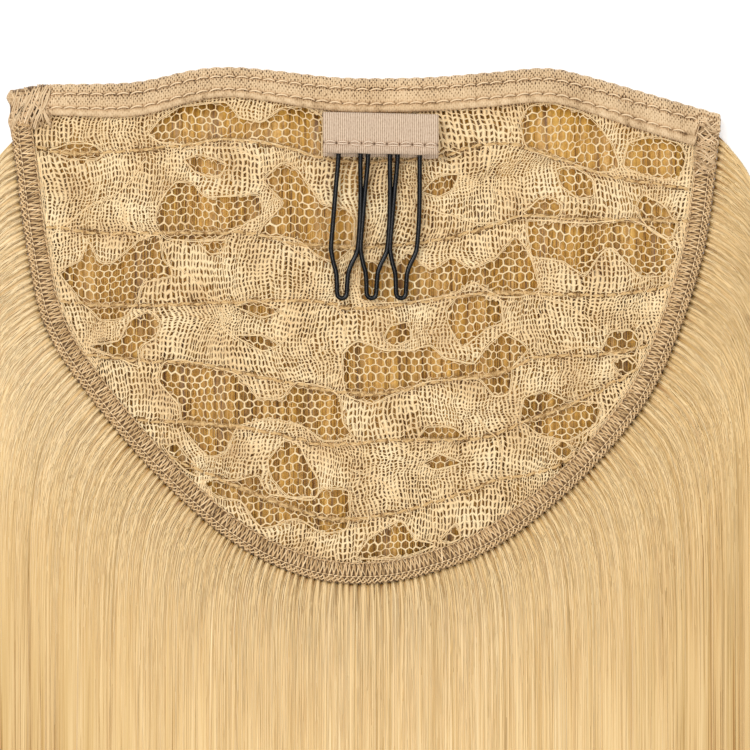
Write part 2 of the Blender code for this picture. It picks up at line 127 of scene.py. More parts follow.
# The weft rows, from the top one down, each from left to right. Columns: across, down, as above.
WEFT_ROWS = [
    [(-0.95, 0.130), (-0.81, 0.147), (-0.52, 0.133), (-0.42, 0.121), (-0.26, 0.131), (-0.13, 0.157),
     (0.00, 0.164), (0.20, 0.153), (0.37, 0.127), (0.54, 0.159), (0.65, 0.188), (0.95, 0.225)],
    [(-0.96, 0.287), (-0.73, 0.306), (-0.35, 0.306), (-0.19, 0.329), (0.04, 0.333), (0.25, 0.312),
     (0.44, 0.274), (0.58, 0.277), (0.95, 0.282)],
    [(-0.95, 0.438), (-0.66, 0.450), (-0.20, 0.440), (-0.05, 0.455), (0.05, 0.452), (0.20, 0.437),
     (0.37, 0.425), (0.68, 0.429), (0.92, 0.402)],
    [(-0.88, 0.540), (-0.63, 0.560), (-0.48, 0.564), (-0.35, 0.584), (-0.08, 0.621), (0.06, 0.623),
     (0.20, 0.601), (0.37, 0.584), (0.48, 0.552), (0.65, 0.548), (0.85, 0.522)],
    [(-0.74, 0.676), (-0.47, 0.684), (-0.30, 0.698), (-0.12, 0.726), (0.06, 0.718), (0.31, 0.713),
     (0.43, 0.684), (0.58, 0.643), (0.78, 0.570)],
    [(-0.60, 0.735), (-0.40, 0.798), (-0.21, 0.851), (-0.07, 0.875), (0.09, 0.859), (0.23, 0.832),
     (0.37, 0.796), (0.48, 0.782), (0.64, 0.735)],
]

# One loop of the comb. Columns: down as a share of COMB_REACH, half width as a share of half
# LOOP_WIDTH, sideways shift as a share of LOOP_LEAN.
LOOP_SECTIONS = [
    (0.00, 0.82, 0.00), (0.27, 0.94, 0.22), (0.47, 1.00, 0.43), (0.64, 1.00, 0.69),
    (0.70, 0.88, 0.78), (0.76, 0.66, 0.95), (0.82, 0.46, 1.00), (0.89, 0.39, 1.02),
    (0.955, 0.365, 1.04), (0.980, 0.33, 1.04), (0.992, 0.23, 1.04),
]

# The photo's frame: its width in pixels, the size of one on the base, and the pixel at the
# middle of the base's top edge
PHOTO_WIDTH = 750
PIXEL = 0.00019
TOP_MIDDLE = (367, 78)

# The open figures of the lace, where the net shows, traced in the photo's pixels
WINDOWS = [
    [(148, 132), (160, 118), (180, 106), (224, 101), (240, 117), (262, 121), (280, 108), (302, 106),
     (322, 116), (322, 158), (300, 150), (262, 140), (222, 138), (185, 143), (160, 140)],
    [(184, 160), (200, 155), (226, 163), (218, 177), (195, 172)],
    [(48, 148), (72, 140), (95, 143), (103, 152), (95, 160), (65, 160)],
    [(263, 180), (281, 163), (298, 170), (322, 204), (345, 208), (355, 220), (352, 248), (338, 262),
     (318, 258), (300, 240), (282, 235), (258, 236), (264, 223), (283, 203)],
    [(160, 200), (175, 182), (192, 183), (208, 197), (258, 194), (262, 214), (234, 228), (212, 242),
     (165, 240), (155, 220)],
    [(198, 242), (226, 241), (222, 252), (210, 254)],
    [(58, 272), (78, 260), (88, 243), (100, 262), (114, 261), (140, 240), (158, 236), (172, 275),
     (144, 282), (136, 300), (125, 318), (100, 321), (82, 305), (74, 292)],
    [(360, 262), (382, 263), (393, 268), (408, 252), (430, 270), (452, 258), (472, 268), (495, 258),
     (515, 237), (528, 250), (540, 288), (522, 298), (500, 298), (475, 281), (455, 292), (420, 300),
     (362, 300)],
    [(446, 312), (458, 297), (475, 293), (500, 302), (503, 322), (485, 330), (462, 348), (450, 328)],
    [(528, 222), (590, 224), (632, 219), (668, 240), (678, 256), (664, 274), (640, 275), (612, 248),
     (600, 255), (585, 275), (562, 261), (532, 256)],
    [(637, 205), (645, 195), (668, 207), (678, 224), (672, 240), (650, 230)],
    [(524, 210), (545, 195), (563, 203), (558, 216), (532, 216)],
    [(520, 125), (530, 105), (555, 103), (590, 115), (612, 142), (620, 165), (600, 171), (560, 158),
     (530, 150)],
    [(630, 142), (652, 136), (680, 142), (688, 156), (680, 177), (650, 175), (624, 164)],
    [(556, 170), (575, 167), (594, 181), (594, 196), (578, 198), (562, 186)],
    [(422, 192), (438, 176), (459, 174), (452, 190), (438, 197)],
    [(437, 155), (447, 147), (462, 155), (450, 161)],
    [(128, 322), (148, 312), (160, 322), (157, 336), (140, 346), (137, 368), (112, 355), (86, 344),
     (118, 340)],
    [(235, 308), (254, 300), (281, 312), (262, 318)],
    [(236, 336), (262, 335), (280, 345), (262, 351)],
    [(157, 380), (165, 362), (180, 359), (235, 374), (258, 398), (283, 398), (298, 381), (330, 388),
     (340, 400), (343, 422), (352, 435), (325, 440), (302, 425), (265, 418), (238, 426), (226, 452),
     (208, 456), (184, 432), (178, 404)],
    [(268, 460), (285, 441), (298, 446), (318, 480), (317, 496), (290, 496), (272, 480)],
    [(342, 355), (358, 341), (385, 350), (412, 350), (430, 345), (445, 358), (474, 363), (485, 348),
     (505, 332), (528, 348), (513, 366), (510, 392), (494, 397), (478, 380), (430, 380), (410, 388),
     (372, 405), (346, 396)],
    [(384, 340), (390, 326), (408, 323), (411, 340), (395, 346)],
    [(165, 447), (176, 443), (192, 460), (198, 478), (182, 470)],
    [(202, 482), (240, 478), (258, 475), (268, 492), (312, 499), (324, 488), (348, 490), (350, 515),
     (345, 532), (322, 533), (295, 520), (262, 528), (240, 502), (216, 497)],
    [(356, 558), (370, 538), (400, 521), (415, 538), (435, 545), (400, 558)],
    [(440, 540), (455, 524), (461, 538), (450, 543)],
    [(520, 420), (524, 398), (545, 391), (575, 402), (602, 405), (595, 425), (570, 440), (540, 436)],
    [(418, 437), (428, 425), (455, 427), (466, 438), (440, 440)],
    [(424, 463), (440, 455), (462, 463), (436, 470)],
    [(602, 348), (612, 331), (632, 330), (641, 340), (635, 357), (612, 355)],
    [(612, 364), (630, 357), (640, 366), (624, 376)],
    [(550, 450), (562, 441), (576, 449), (564, 458)],
]

# Veins of thicker thread inside the dense figures, in the photo's pixels
VEINS = [
    [(160, 240), (165, 262), (190, 275), (205, 292), (220, 300)],
    [(280, 240), (300, 255), (320, 262)],
    [(60, 225), (90, 205), (120, 190), (145, 160)],
    [(120, 200), (128, 225), (150, 236)],
    [(182, 150), (205, 148), (235, 150), (262, 160)],
    [(330, 300), (345, 322), (342, 352)],
    [(420, 205), (450, 215), (490, 222), (524, 214)],
    [(470, 130), (490, 150), (488, 180), (510, 200)],
    [(545, 300), (575, 310), (600, 330)],
    [(560, 350), (585, 345), (602, 348)],
    [(380, 420), (395, 445), (420, 460)],
    [(480, 420), (500, 445), (500, 480)],
    [(225, 300), (222, 325), (236, 340)],
    [(281, 312), (292, 328), (280, 345)],
    [(352, 470), (380, 480), (400, 500)],
    [(640, 285), (650, 310), (636, 330)],
]

# The lace's threads
NET_PITCH = 0.00163
NET_ROW = 0.00135
NET_THREAD = 0.00020
NET_SWAY = 0.00060
NET_JITTER = 0.00020
TOILE_PITCH = 0.00065
TOILE_ROW = 0.00078
TOILE_THREAD = 0.00030
TOILE_RISE = 0.00022
TOILE_SWAY = 0.0013
TOILE_JITTER = 0.00017
TOILE_ZIGZAG = 0.00014
CORD_RADIUS = 0.00010
CORD_STEP = 0.00058
WINDOW_CURVE = 0.4
LACE_MIDDLE = (LACE_BOTTOM + LACE_TOP) / 2
TUCK = 0.0012
PINCH_REACH = 0.0013
PINCH_DEPTH = 0.0009
PINCH_PULL = 0.35

# The sewing
STITCH_PITCH = 0.00255
BAND_STITCHES = (0.33, 0.76)
BAND_STITCH = 0.00016
CORNER_WIDTH = 0.0072
RIGHT_CORNER_DEPTH = 0.0095
BAND_END_TAPER = 0.0012
BAND_END_SHARE = 0.45
BAND_END_RISE = 0.0005
SCALLOP = 0.00017
RIB_PITCH = 0.00068
FINE_RIB_PITCH = 0.00042
TAB_RIB_PITCH = 0.00040
PINHOLE_PITCH = 0.00068
PINHOLE_ROW = 0.00100
PINHOLE_FADE = 0.0036
SERGING_PITCH = 0.00045
LOOP_STITCH_PITCH = 0.00112
SERGING_THREAD = 0.00014
SERGING_CHAIN = 0.36
WRAP_PITCH = 0.00055

# The overlock's long threads. Columns: place and swing as shares of its width, turn and tone.
OVERLOCK_THREADS = [
    (0.09, 0.055, 0.0, 0.35), (0.21, 0.075, 1.9, 0.30), (0.335, 0.012, 0.0, 0.45), (0.30, 0.012, 3.1, -0.9),
    (0.985, 0.020, 1.0, 0.30),
]

# The hair's strands
TUFT_PITCH = 0.00142
TUFT_REACH = 0.0036
HAIR_START = 0.0036
START_DROOP = math.radians(11)
START_REACH = 0.005
STRAND_RADIUS = 0.000075
HAIR_COLUMNS = 760
HAIR_ROWS = 30

# Colours as they show, 0 to 255
# The hair's deepest colour is painted shade, for the roots in the gaps between tufts
HAIR_SHADE = (162, 116, 54)
HAIR_DARK = (206, 168, 104)
HAIR_MIDDLE = (231, 197, 138)
HAIR_LIGHT = (248, 222, 174)
# The hair under the lace is the same hair painted darker and more golden: painted shade from the lace over it.
SHADED_INNER_HAIR_DARK = (120, 78, 24)
SHADED_INNER_HAIR_MIDDLE = (216, 165, 70)
SHADED_INNER_HAIR_LIGHT = (252, 208, 110)
LACE_DARK = (214, 177, 126)
LACE_MIDDLE_COLOUR = (241, 209, 157)
LACE_LIGHT = (255, 232, 186)
# The tape's deepest colour is painted shade, for its stitch dips, pinholes and the end under the corner threads.
TAPE_SHADE = (92, 64, 32)
TAPE_DARK = (146, 112, 72)
TAPE_MIDDLE = (212, 179, 136)
TAPE_LIGHT = (248, 218, 176)
# The ribbon's deepest colour is painted shade, for the tab's seam and pinholes.
RIBBON_SHADE = (96, 70, 46)
RIBBON_DARK = (160, 132, 104)
RIBBON_MIDDLE = (200, 173, 146)
RIBBON_LIGHT = (232, 207, 180)
EDGE_DARK = (104, 73, 40)
EDGE_MIDDLE = (203, 165, 113)
EDGE_LIGHT = (254, 222, 174)
WEFT_DARK = (150, 112, 60)
WEFT_MIDDLE = (212, 175, 118)
WEFT_LIGHT = (240, 209, 156)
WIRE_BLACK = (3, 3, 4)
FLOOR_WHITE = (250, 250, 250)
FLOOR_GLOW = 0.25

RAMP_PLACES = (0.0, 0.13, 0.5, 1.0)

# How finely the shapes are divided
CURVE_STEPS = 12
FINE_STATIONS = 1200

Shape = namedtuple("Shape", "points faces flow tone")


def linear(colour):
    """Linear RGB of a colour as it shows."""
    shares = np.array(colour) / 255
    return tuple(np.where(shares <= 0.04045, shares / 12.92, ((shares + 0.055) / 1.055) ** 2.4))


# Curves and heights, as in the solids

def smooth_step(value):
    value = np.clip(value, 0.0, 1.0)
    return value * value * (3 - 2 * value)


def between(before, start, end, after, share):
    """A point of the Catmull-Rom curve from start to end."""
    return 0.5 * (
        2 * start
        + (end - before) * share
        + (2 * before - 5 * start + 4 * end - after) * share**2
        + (3 * start - before - 3 * end + after) * share**3
    )


def spaced(curve, count):
    """The curve again with count points, evenly spaced by its first two columns."""
    steps = np.hypot(*np.diff(curve[:, :2], axis=0).T)
    run = np.concatenate([[0.0], np.cumsum(steps)])
    wanted = np.linspace(0.0, run[-1], count)
    return np.column_stack([np.interp(wanted, run, column) for column in curve.T])


def smooth_curve(rows, count, closed=False, curved=1.0):
    """Samples of the smooth curve through a table's rows; curved below 1 draws it towards the
    straight lines between them."""
    rows = np.array(rows, float)
    if closed:
        rows = np.vstack([rows[-1], rows, rows[:2]])
    else:
        rows = np.vstack([2 * rows[0] - rows[1], rows, 2 * rows[-1] - rows[-2]])
    fine = []
    for i in range(1, len(rows) - 2):
        for step in range(CURVE_STEPS):
            share = step / CURVE_STEPS
            straight = rows[i] + (rows[i + 1] - rows[i]) * share
            fine.append(straight + (between(*rows[i - 1:i + 3], share) - straight) * curved)
    fine.append(rows[-2])
    return spaced(np.array(fine), count)


def curve_length(curve):
    return float(np.sum(np.hypot(*np.diff(curve[:, :2], axis=0).T)))


def on_base(table):
    """A table's first two columns, from shares of the base to metres."""
    placed = np.array(table, float)
    placed[:, 0] *= BASE_WIDTH / 2
    placed[:, 1] *= -BASE_DEPTH
    return placed


def from_photo(table):
    """Plan points from the photo's pixels."""
    return (np.array(table, float) - TOP_MIDDLE) * (PIXEL, -PIXEL)


def right_of(path):
    """Unit vectors to the right of a path, seen from above."""
    along = np.gradient(path[:, :2], axis=0)
    along /= np.hypot(*along.T)[:, None]
    return np.column_stack([along[:, 1], -along[:, 0]])


BAND_CURVE = smooth_curve(on_base(BAND_SECTIONS), FINE_STATIONS)


def band_bottom_at(x):
    return np.interp(x, BAND_CURVE[:, 0], BAND_CURVE[:, 1] - BAND_CURVE[:, 2] * BAND_WIDTH)


def u_line(count):
    """The U's outer line and its outward unit vectors."""
    line = smooth_curve(on_base(U_OUTLINE), FINE_STATIONS)
    inner = line - right_of(line) * SERGING_WIDTH
    outer_below = line[:, 1] < band_bottom_at(line[:, 0]) - CLEARANCE
    inner_below = inner[:, 1] < band_bottom_at(inner[:, 0]) - CLEARANCE
    clear = (line[:, 0] > 0) | (outer_below & inner_below)
    line = spaced(line[clear], count)
    return line, right_of(line)


EDGE_LINE, EDGE_OUTWARD = u_line(FINE_STATIONS)
EDGE_LENGTH = curve_length(EDGE_LINE)
EDGE_RUN = np.linspace(0.0, EDGE_LENGTH, FINE_STATIONS)


def on_edge(run, inset):
    """Plan points at a run along the U's outer line and an inset from it."""
    x = np.interp(run, EDGE_RUN, EDGE_LINE[:, 0]) - inset * np.interp(run, EDGE_RUN, EDGE_OUTWARD[:, 0])
    y = np.interp(run, EDGE_RUN, EDGE_LINE[:, 1]) - inset * np.interp(run, EDGE_RUN, EDGE_OUTWARD[:, 1])
    return np.stack([x, y], axis=-1)


def band_line(count):
    """The band's top edge, cut off where it meets the U's right arm."""
    inner = EDGE_LINE - EDGE_OUTWARD * (SERGING_WIDTH + CLEARANCE)
    meets = (EDGE_LINE[:, 0] > 0) & (inner[:, 1] > band_bottom_at(inner[:, 0]) - CLEARANCE)
    return spaced(BAND_CURVE[BAND_CURVE[:, 0] < np.min(inner[meets, 0])], count)


def band_cloth_line(count):
    """The band's whole top edge: x, y, width and, as 0 to 1, how far it has narrowed to the strip
    that covers the end of the U's right arm."""
    meets = band_line(2)[-1, 0]
    past = smooth_step((BAND_CURVE[:, 0] - meets + CLEARANCE) / BAND_END_TAPER)
    return spaced(np.column_stack([BAND_CURVE, past]), count)


def distance_to(line, points):
    """The distance from each point to the nearest point of a finely divided line."""
    nearest = np.full(len(points), np.inf)
    for x, y in line[:, :2]:
        np.minimum(nearest, np.hypot(points[:, 0] - x, points[:, 1] - y), out=nearest)
    return nearest


def inside(outline, points):
    """Which points lie inside a closed outline."""
    x, y = points[:, 0], points[:, 1]
    within = np.zeros(len(points), bool)
    for (x0, y0), (x1, y1) in zip(outline, np.roll(outline, -1, axis=0)):
        if y0 != y1:
            spans = (y0 > y) != (y1 > y)
            within ^= spans & (x < x0 + (y - y0) * (x1 - x0) / (y1 - y0))
    return within


def pile_half_width(y):
    share = np.clip(-y / HAIR_LENGTH, 0.0, 1.0)
    return 0.5 * (PILE_WIDTH + (PILE_TIP_WIDTH - PILE_WIDTH) * share)


def pile_height(x, y):
    """The height of the hair under the base and below it."""
    down = -y / BASE_DEPTH
    below = (-y - BASE_DEPTH) / (HAIR_LENGTH - BASE_DEPTH)
    under_base = PILE_AT_EDGE - (PILE_AT_EDGE - PILE_AT_BAND) * (1 - down) ** 2
    past_base = PILE_AT_EDGE - (PILE_AT_EDGE - PILE_AT_TIPS) * np.clip(below, 0.0, 1.0) ** 2
    middle = np.where(down < 1, under_base, past_base)
    across = np.clip(np.abs(x) / pile_half_width(y), 0.0, 1.0)
    return PILE_SIDE + (middle - PILE_SIDE) * (1 - across**2)


def raised(plan, level):
    """Plan points, in an array of any shape, set at a level above the hair."""
    height = pile_height(plan[..., 0], plan[..., 1]) + level
    return np.concatenate([plan, height[..., None]], axis=-1)


# Smooth random values

def waves(points, size, seed):
    """Smooth values of about -1 to 1 over plan points, with bumps of about a size."""
    chance = np.random.default_rng(seed)
    total = np.zeros(points.shape[:-1])
    kinds = 9
    for _ in range(kinds):
        heading = chance.uniform(0, 2 * math.pi)
        length = size * chance.uniform(1.3, 3.0)
        across = points[..., 0] * math.cos(heading) + points[..., 1] * math.sin(heading)
        total += np.sin(2 * math.pi * across / length + chance.uniform(0, 2 * math.pi))
    return total / math.sqrt(kinds)


def patches(u, v, seed):
    """Smooth values of -1 to 1 that change over each unit of u and v."""
    u = u - np.min(u)
    v = v - np.min(v)
    chance = np.random.default_rng(seed)
    table = chance.uniform(-1, 1, (int(np.max(u)) + 2, int(np.max(v)) + 2))
    i = u.astype(int)
    j = v.astype(int)
    a = smooth_step(u - i)
    b = smooth_step(v - j)
    low = table[i, j] * (1 - a) + table[i + 1, j] * a
    high = table[i, j + 1] * (1 - a) + table[i + 1, j + 1] * a
    return low * (1 - b) + high * b


# Meshes

def grid_quads(columns, rows, first=0, wrap=False):
    """Faces of a grid whose points run down each column in turn; wrap joins its last row to the
    first one."""
    i = np.arange(columns - 1)[:, None]
    j = np.arange(rows if wrap else rows - 1)[None, :]
    after = (j + 1) % rows
    quads = [i * rows + j, i * rows + after, (i + 1) * rows + after, (i + 1) * rows + j]
    return first + np.stack(np.broadcast_arrays(*quads), axis=-1).reshape(-1, 4)


def shape_of(points, faces, flow=None, tone=None):
    """A shape from points, a list of face arrays, places along and across it, and a tone."""
    points = points.reshape(-1, 3)
    flow = points[:, :2] if flow is None else flow.reshape(-1, 2)
    tone = np.zeros(len(points)) if tone is None else np.broadcast_to(tone, len(points))
    return Shape(points, faces, flow, tone)


def joined(shapes):
    """Several shapes as one."""
    faces = []
    first = 0
    for shape in shapes:
        faces += [part + first for part in shape.faces]
        first += len(shape.points)
    return Shape(
        np.vstack([shape.points for shape in shapes]),
        faces,
        np.vstack([shape.flow for shape in shapes]),
        np.concatenate([shape.tone for shape in shapes]),
    )


def threads(paths, radii, sides=4, flat=1.0, closed=False, tone=0.0):
    """Round threads along paths of as many points each, an array of thread by point by 3."""
    count, stations = paths.shape[:2]
    if closed:
        ahead = np.roll(paths, -1, axis=1) - np.roll(paths, 1, axis=1)
    else:
        ahead = np.gradient(paths, axis=1)
    ahead /= np.linalg.norm(ahead, axis=-1, keepdims=True)
    right = np.cross(ahead, (0.0, 0.0, 1.0))
    right /= np.linalg.norm(right, axis=-1, keepdims=True)
    up = np.cross(right, ahead)
    angles = 2 * math.pi * (np.arange(sides) + 0.5) / sides
    radii = np.broadcast_to(radii, (count, stations))[:, :, None, None]
    ring = np.cos(angles)[:, None] * right[:, :, None] + flat * np.sin(angles)[:, None] * up[:, :, None]
    points = paths[:, :, None] + radii * ring

    first = np.arange(count)[:, None, None] * stations * sides
    here = np.arange(stations if closed else stations - 1)[None, :, None]
    side = np.arange(sides)[None, None, :]
    there = (here + 1) % stations
    beside = (side + 1) % sides
    corners = [here * sides + side, there * sides + side, there * sides + beside, here * sides + beside]
    quads = first[..., None] + np.stack(np.broadcast_arrays(*corners), axis=-1)
    faces = [quads.reshape(-1, 4)]
    if not closed:
        faces.append(first[:, 0] + np.arange(sides))
        faces.append(first[:, 0] + stations * sides - 1 - np.arange(sides))

    run = np.cumsum(np.linalg.norm(np.diff(paths, axis=1, prepend=paths[:, :1]), axis=-1), axis=1)
    along = np.broadcast_to(run[:, :, None], (count, stations, sides))
    around = np.arange(count)[:, None, None] * 0.01 + radii[..., 0] * angles
    flow = np.stack([around, along], axis=-1)
    tone = np.broadcast_to(np.asarray(tone), (count, stations))
    return shape_of(points, faces, flow, np.repeat(tone.reshape(-1), sides))


def layers(upper, lower, flow=None, tone=None):
    """A closed shape between two grids of the same size, each columns by rows by 3."""
    columns, rows = upper.shape[:2]
    count = columns * rows
    border = list(range(rows))
    border += [i * rows + rows - 1 for i in range(1, columns)]
    border += [(columns - 1) * rows + j for j in range(rows - 2, -1, -1)]
    border += [i * rows for i in range(columns - 2, 0, -1)]
    here = np.array(border)
    there = np.roll(here, -1)
    faces = [
        grid_quads(columns, rows),
        grid_quads(columns, rows, count)[:, ::-1],
        np.column_stack([there, here, count + here, count + there]),
    ]
    points = np.vstack([upper.reshape(-1, 3), lower.reshape(-1, 3)])
    flow = None if flow is None else np.vstack([flow.reshape(-1, 2)] * 2)
    tone = None if tone is None else np.concatenate([tone.reshape(-1)] * 2)
    return shape_of(points, faces, flow, tone)


def add_piece(name, shape, material, replaced=()):
    """A piece of the object: it takes a finish slot, rides on the body and may stand for nodes."""
    mesh = bpy.data.meshes.new(name)
    points = shape.points + (BASE_X, BASE_Y, 0.0)
    mesh.vertices.add(len(points))
    mesh.vertices.foreach_set("co", points.ravel())
    corners = np.concatenate([part.ravel() for part in shape.faces])
    sizes = np.concatenate([np.full(len(part), part.shape[1]) for part in shape.faces])
    mesh.loops.add(len(corners))
    mesh.loops.foreach_set("vertex_index", corners.astype(np.int32))
    mesh.polygons.add(len(sizes))
    mesh.polygons.foreach_set("loop_start", (np.cumsum(sizes) - sizes).astype(np.int32))
    mesh.update(calc_edges=True)
    mesh.validate()
    mesh.shade_smooth()
    flow = mesh.attributes.new("flow", "FLOAT_VECTOR", "POINT")
    flow.data.foreach_set("vector", np.column_stack([shape.flow, np.zeros(len(points))]).ravel())
    tone = mesh.attributes.new("tone", "FLOAT", "POINT")
    tone.data.foreach_set("value", np.ascontiguousarray(shape.tone, float))
    mesh.materials.append(material)
    obj = bpy.data.objects.new(name, mesh)
    bpy.context.scene.collection.objects.link(obj)
    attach(obj, "root")
    if replaced:
        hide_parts(*replaced)
    return obj


# Materials

def add_node(tree, kind, inputs=None, **settings):
    """A shader node; each input is a number, a colour or another node's output."""
    node = tree.nodes.new(kind)
    for name, value in settings.items():
        setattr(node, name, value)
    for socket, value in (inputs or {}).items():
        if isinstance(value, bpy.types.NodeSocket):
            tree.links.new(value, node.inputs[socket])
        else:
            node.inputs[socket].default_value = value
    return node


def maths(tree, operation, first, second=0.0, third=0.0, clamp=False):
    inputs = {0: first, 1: second, 2: third}
    return add_node(tree, "ShaderNodeMath", inputs, operation=operation, use_clamp=clamp).outputs[0]


def new_finish(name, roughness, sheen=0.0):
    material = bpy.data.materials.new(name)
    material.use_nodes = True
    shader = material.node_tree.nodes["Principled BSDF"]
    shader.inputs["Roughness"].default_value = roughness
    shader.inputs["Sheen Weight"].default_value = sheen
    return material, material.node_tree, shader


def grain(tree, across, along, detail=3.0):
    """Noise drawn out along the threads, from the sizes of its grains."""
    flow = add_node(tree, "ShaderNodeAttribute", attribute_name="flow").outputs["Vector"]
    scaled = add_node(
        tree, "ShaderNodeVectorMath", {0: flow, 1: (1 / across, 1 / along, 0.0)}, operation="MULTIPLY"
    ).outputs[0]
    noise = add_node(tree, "ShaderNodeTexNoise", {"Vector": scaled, "Scale": 1.0, "Detail": detail})
    return noise.outputs["Fac"]


def tones(tree, share, colours):
    """A colour from dark to light by a share of 0 to 1, from three colours or four."""
    ramp = add_node(tree, "ShaderNodeValToRGB", {"Fac": share})
    places = RAMP_PLACES[-len(colours):]
    for place in places[1:-1]:
        ramp.color_ramp.elements.new(place)
    for stop, place, colour in zip(ramp.color_ramp.elements, places, colours):
        stop.position = place
        stop.color = (*linear(colour), 1.0)
    return ramp.outputs["Color"]


def fibre_finish(name, colours, roughness, across, along, contrast, bump, sheen=0.0):
    """Thread or hair: streaks drawn out along it, lighter and darker by each strand's tone."""
    material, tree, shader = new_finish(name, roughness, sheen)
    broad = maths(tree, "SUBTRACT", grain(tree, across, along), 0.5)
    fine = maths(tree, "SUBTRACT", grain(tree, across / 4, along / 2), 0.5)
    tone = add_node(tree, "ShaderNodeAttribute", attribute_name="tone").outputs["Fac"]
    share = maths(tree, "MULTIPLY_ADD", broad, 2 * contrast, 0.5)
    share = maths(tree, "ADD", share, maths(tree, "MULTIPLY", fine, contrast))
    share = maths(tree, "ADD", share, maths(tree, "MULTIPLY", tone, 0.5))
    tree.links.new(tones(tree, share, colours), shader.inputs["Base Color"])
    relief = add_node(
        tree, "ShaderNodeBump", {"Height": fine, "Strength": bump, "Distance": STRAND_RADIUS}
    )
    tree.links.new(relief.outputs["Normal"], shader.inputs["Normal"])
    return material


def woven_finish(name, colours, roughness, rib, rib_contrast, pinholes):
    """Ribbed cloth: uneven ribs across its length, and rows of pinholes that fade down its width."""
    material, tree, shader = new_finish(name, roughness, 0.15)
    flow = add_node(tree, "ShaderNodeAttribute", attribute_name="flow").outputs["Vector"]
    split = add_node(tree, "ShaderNodeSeparateXYZ", {0: flow})
    wander = maths(tree, "MULTIPLY", grain(tree, 0.0030, 0.0022), 4.0)
    ribs = maths(tree, "SINE", maths(tree, "MULTIPLY_ADD", split.outputs[0], 2 * math.pi / rib, wander))
    columns = maths(tree, "MULTIPLY_ADD", split.outputs[0], 2 * math.pi / PINHOLE_PITCH, wander)
    rows = maths(tree, "MULTIPLY_ADD", split.outputs[1], 2 * math.pi / PINHOLE_ROW, wander)
    spots = maths(tree, "MULTIPLY", maths(tree, "SINE", columns), maths(tree, "SINE", rows))
    blotches = maths(tree, "MULTIPLY_ADD", grain(tree, 0.0008, 0.0008), 3.6, -1.8)
    spots = maths(tree, "MULTIPLY_ADD", maths(tree, "ADD", spots, blotches), 3.0, -1.2, clamp=True)
    fade = maths(tree, "MULTIPLY_ADD", split.outputs[1], -1 / PINHOLE_FADE, 1.7, clamp=True)
    fade = maths(tree, "MAXIMUM", fade, 0.3)
    # The pinholes are dark spots of painted shade, fading down the cloth's width.
    dark = maths(tree, "MULTIPLY", maths(tree, "MULTIPLY", spots, fade), -pinholes)
    speckle = maths(tree, "SUBTRACT", grain(tree, 0.0005, 0.0005), 0.5)
    tone = add_node(tree, "ShaderNodeAttribute", attribute_name="tone").outputs["Fac"]
    share = maths(tree, "MULTIPLY_ADD", maths(tree, "MULTIPLY", ribs, fade), rib_contrast, 0.58)
    share = maths(tree, "ADD", share, dark)
    share = maths(tree, "ADD", share, maths(tree, "MULTIPLY", speckle, 0.6))
    share = maths(tree, "ADD", share, maths(tree, "MULTIPLY", tone, 0.5))
    tree.links.new(tones(tree, share, colours), shader.inputs["Base Color"])
    height = maths(tree, "ADD", ribs, maths(tree, "MULTIPLY", dark, 3.0))
    relief = add_node(tree, "ShaderNodeBump", {"Height": height, "Strength": 0.6, "Distance": 0.00005})
    tree.links.new(relief.outputs["Normal"], shader.inputs["Normal"])
    return material


def wire_finish():
    """Black coated wire, glossy, with a slight unevenness in the coat."""
    material, tree, shader = new_finish("black_wire", 0.3)
    shader.inputs["Base Color"].default_value = (*linear(WIRE_BLACK), 1.0)
    shader.inputs["Specular IOR Level"].default_value = 0.24
    wear = grain(tree, 0.0004, 0.002)
    rough = maths(tree, "MULTIPLY_ADD", wear, 0.08, 0.13)
    tree.links.new(rough, shader.inputs["Roughness"])
    relief = add_node(tree, "ShaderNodeBump", {"Height": wear, "Strength": 0.15, "Distance": 0.00002})
    tree.links.new(relief.outputs["Normal"], shader.inputs["Normal"])
    return material


# The lace

def lace_region():
    """The outline that the lace fills, tucked under the band and the overlocked edge."""
    inner = EDGE_LINE - EDGE_OUTWARD * (SERGING_WIDTH - TUCK)
    top = band_line(FINE_STATIONS // 4)
    top = np.column_stack([top[:, 0], top[:, 1] - top[:, 2] * BAND_WIDTH + TUCK])
    within = (top[:, 0] > inner[0, 0]) & (top[:, 0] < inner[-1, 0])
    return np.vstack([inner, top[within][::-1]])


def row_depths(x):
    """How far down each weft row lies at each x, one array a row, from the top one."""
    depths = []
    for row in WEFT_ROWS:
        curve = smooth_curve(on_base(row), 8 * CURVE_STEPS)
        depths.append(np.interp(x, curve[:, 0], curve[:, 1]))
    return depths


def row_reach(x, row):
    """1 where a weft row runs at each x, and 0 beyond its ends."""
    ends = on_base(row)[[0, -1], 0]
    return smooth_step((x - ends[0]) / STITCH_PITCH + 1) * smooth_step((ends[1] - x) / STITCH_PITCH + 1)


def pinched(points):
    """Lace points drawn towards the rows that hold the lace down."""
    points = points.copy()
    for row, depth in zip(WEFT_ROWS, row_depths(points[:, 0])):
        away = points[:, 1] - depth
        pull = PINCH_PULL * np.exp(-((away / (1.6 * PINCH_REACH)) ** 2)) * row_reach(points[:, 0], row)
        points[:, 1] -= away * pull
    return points


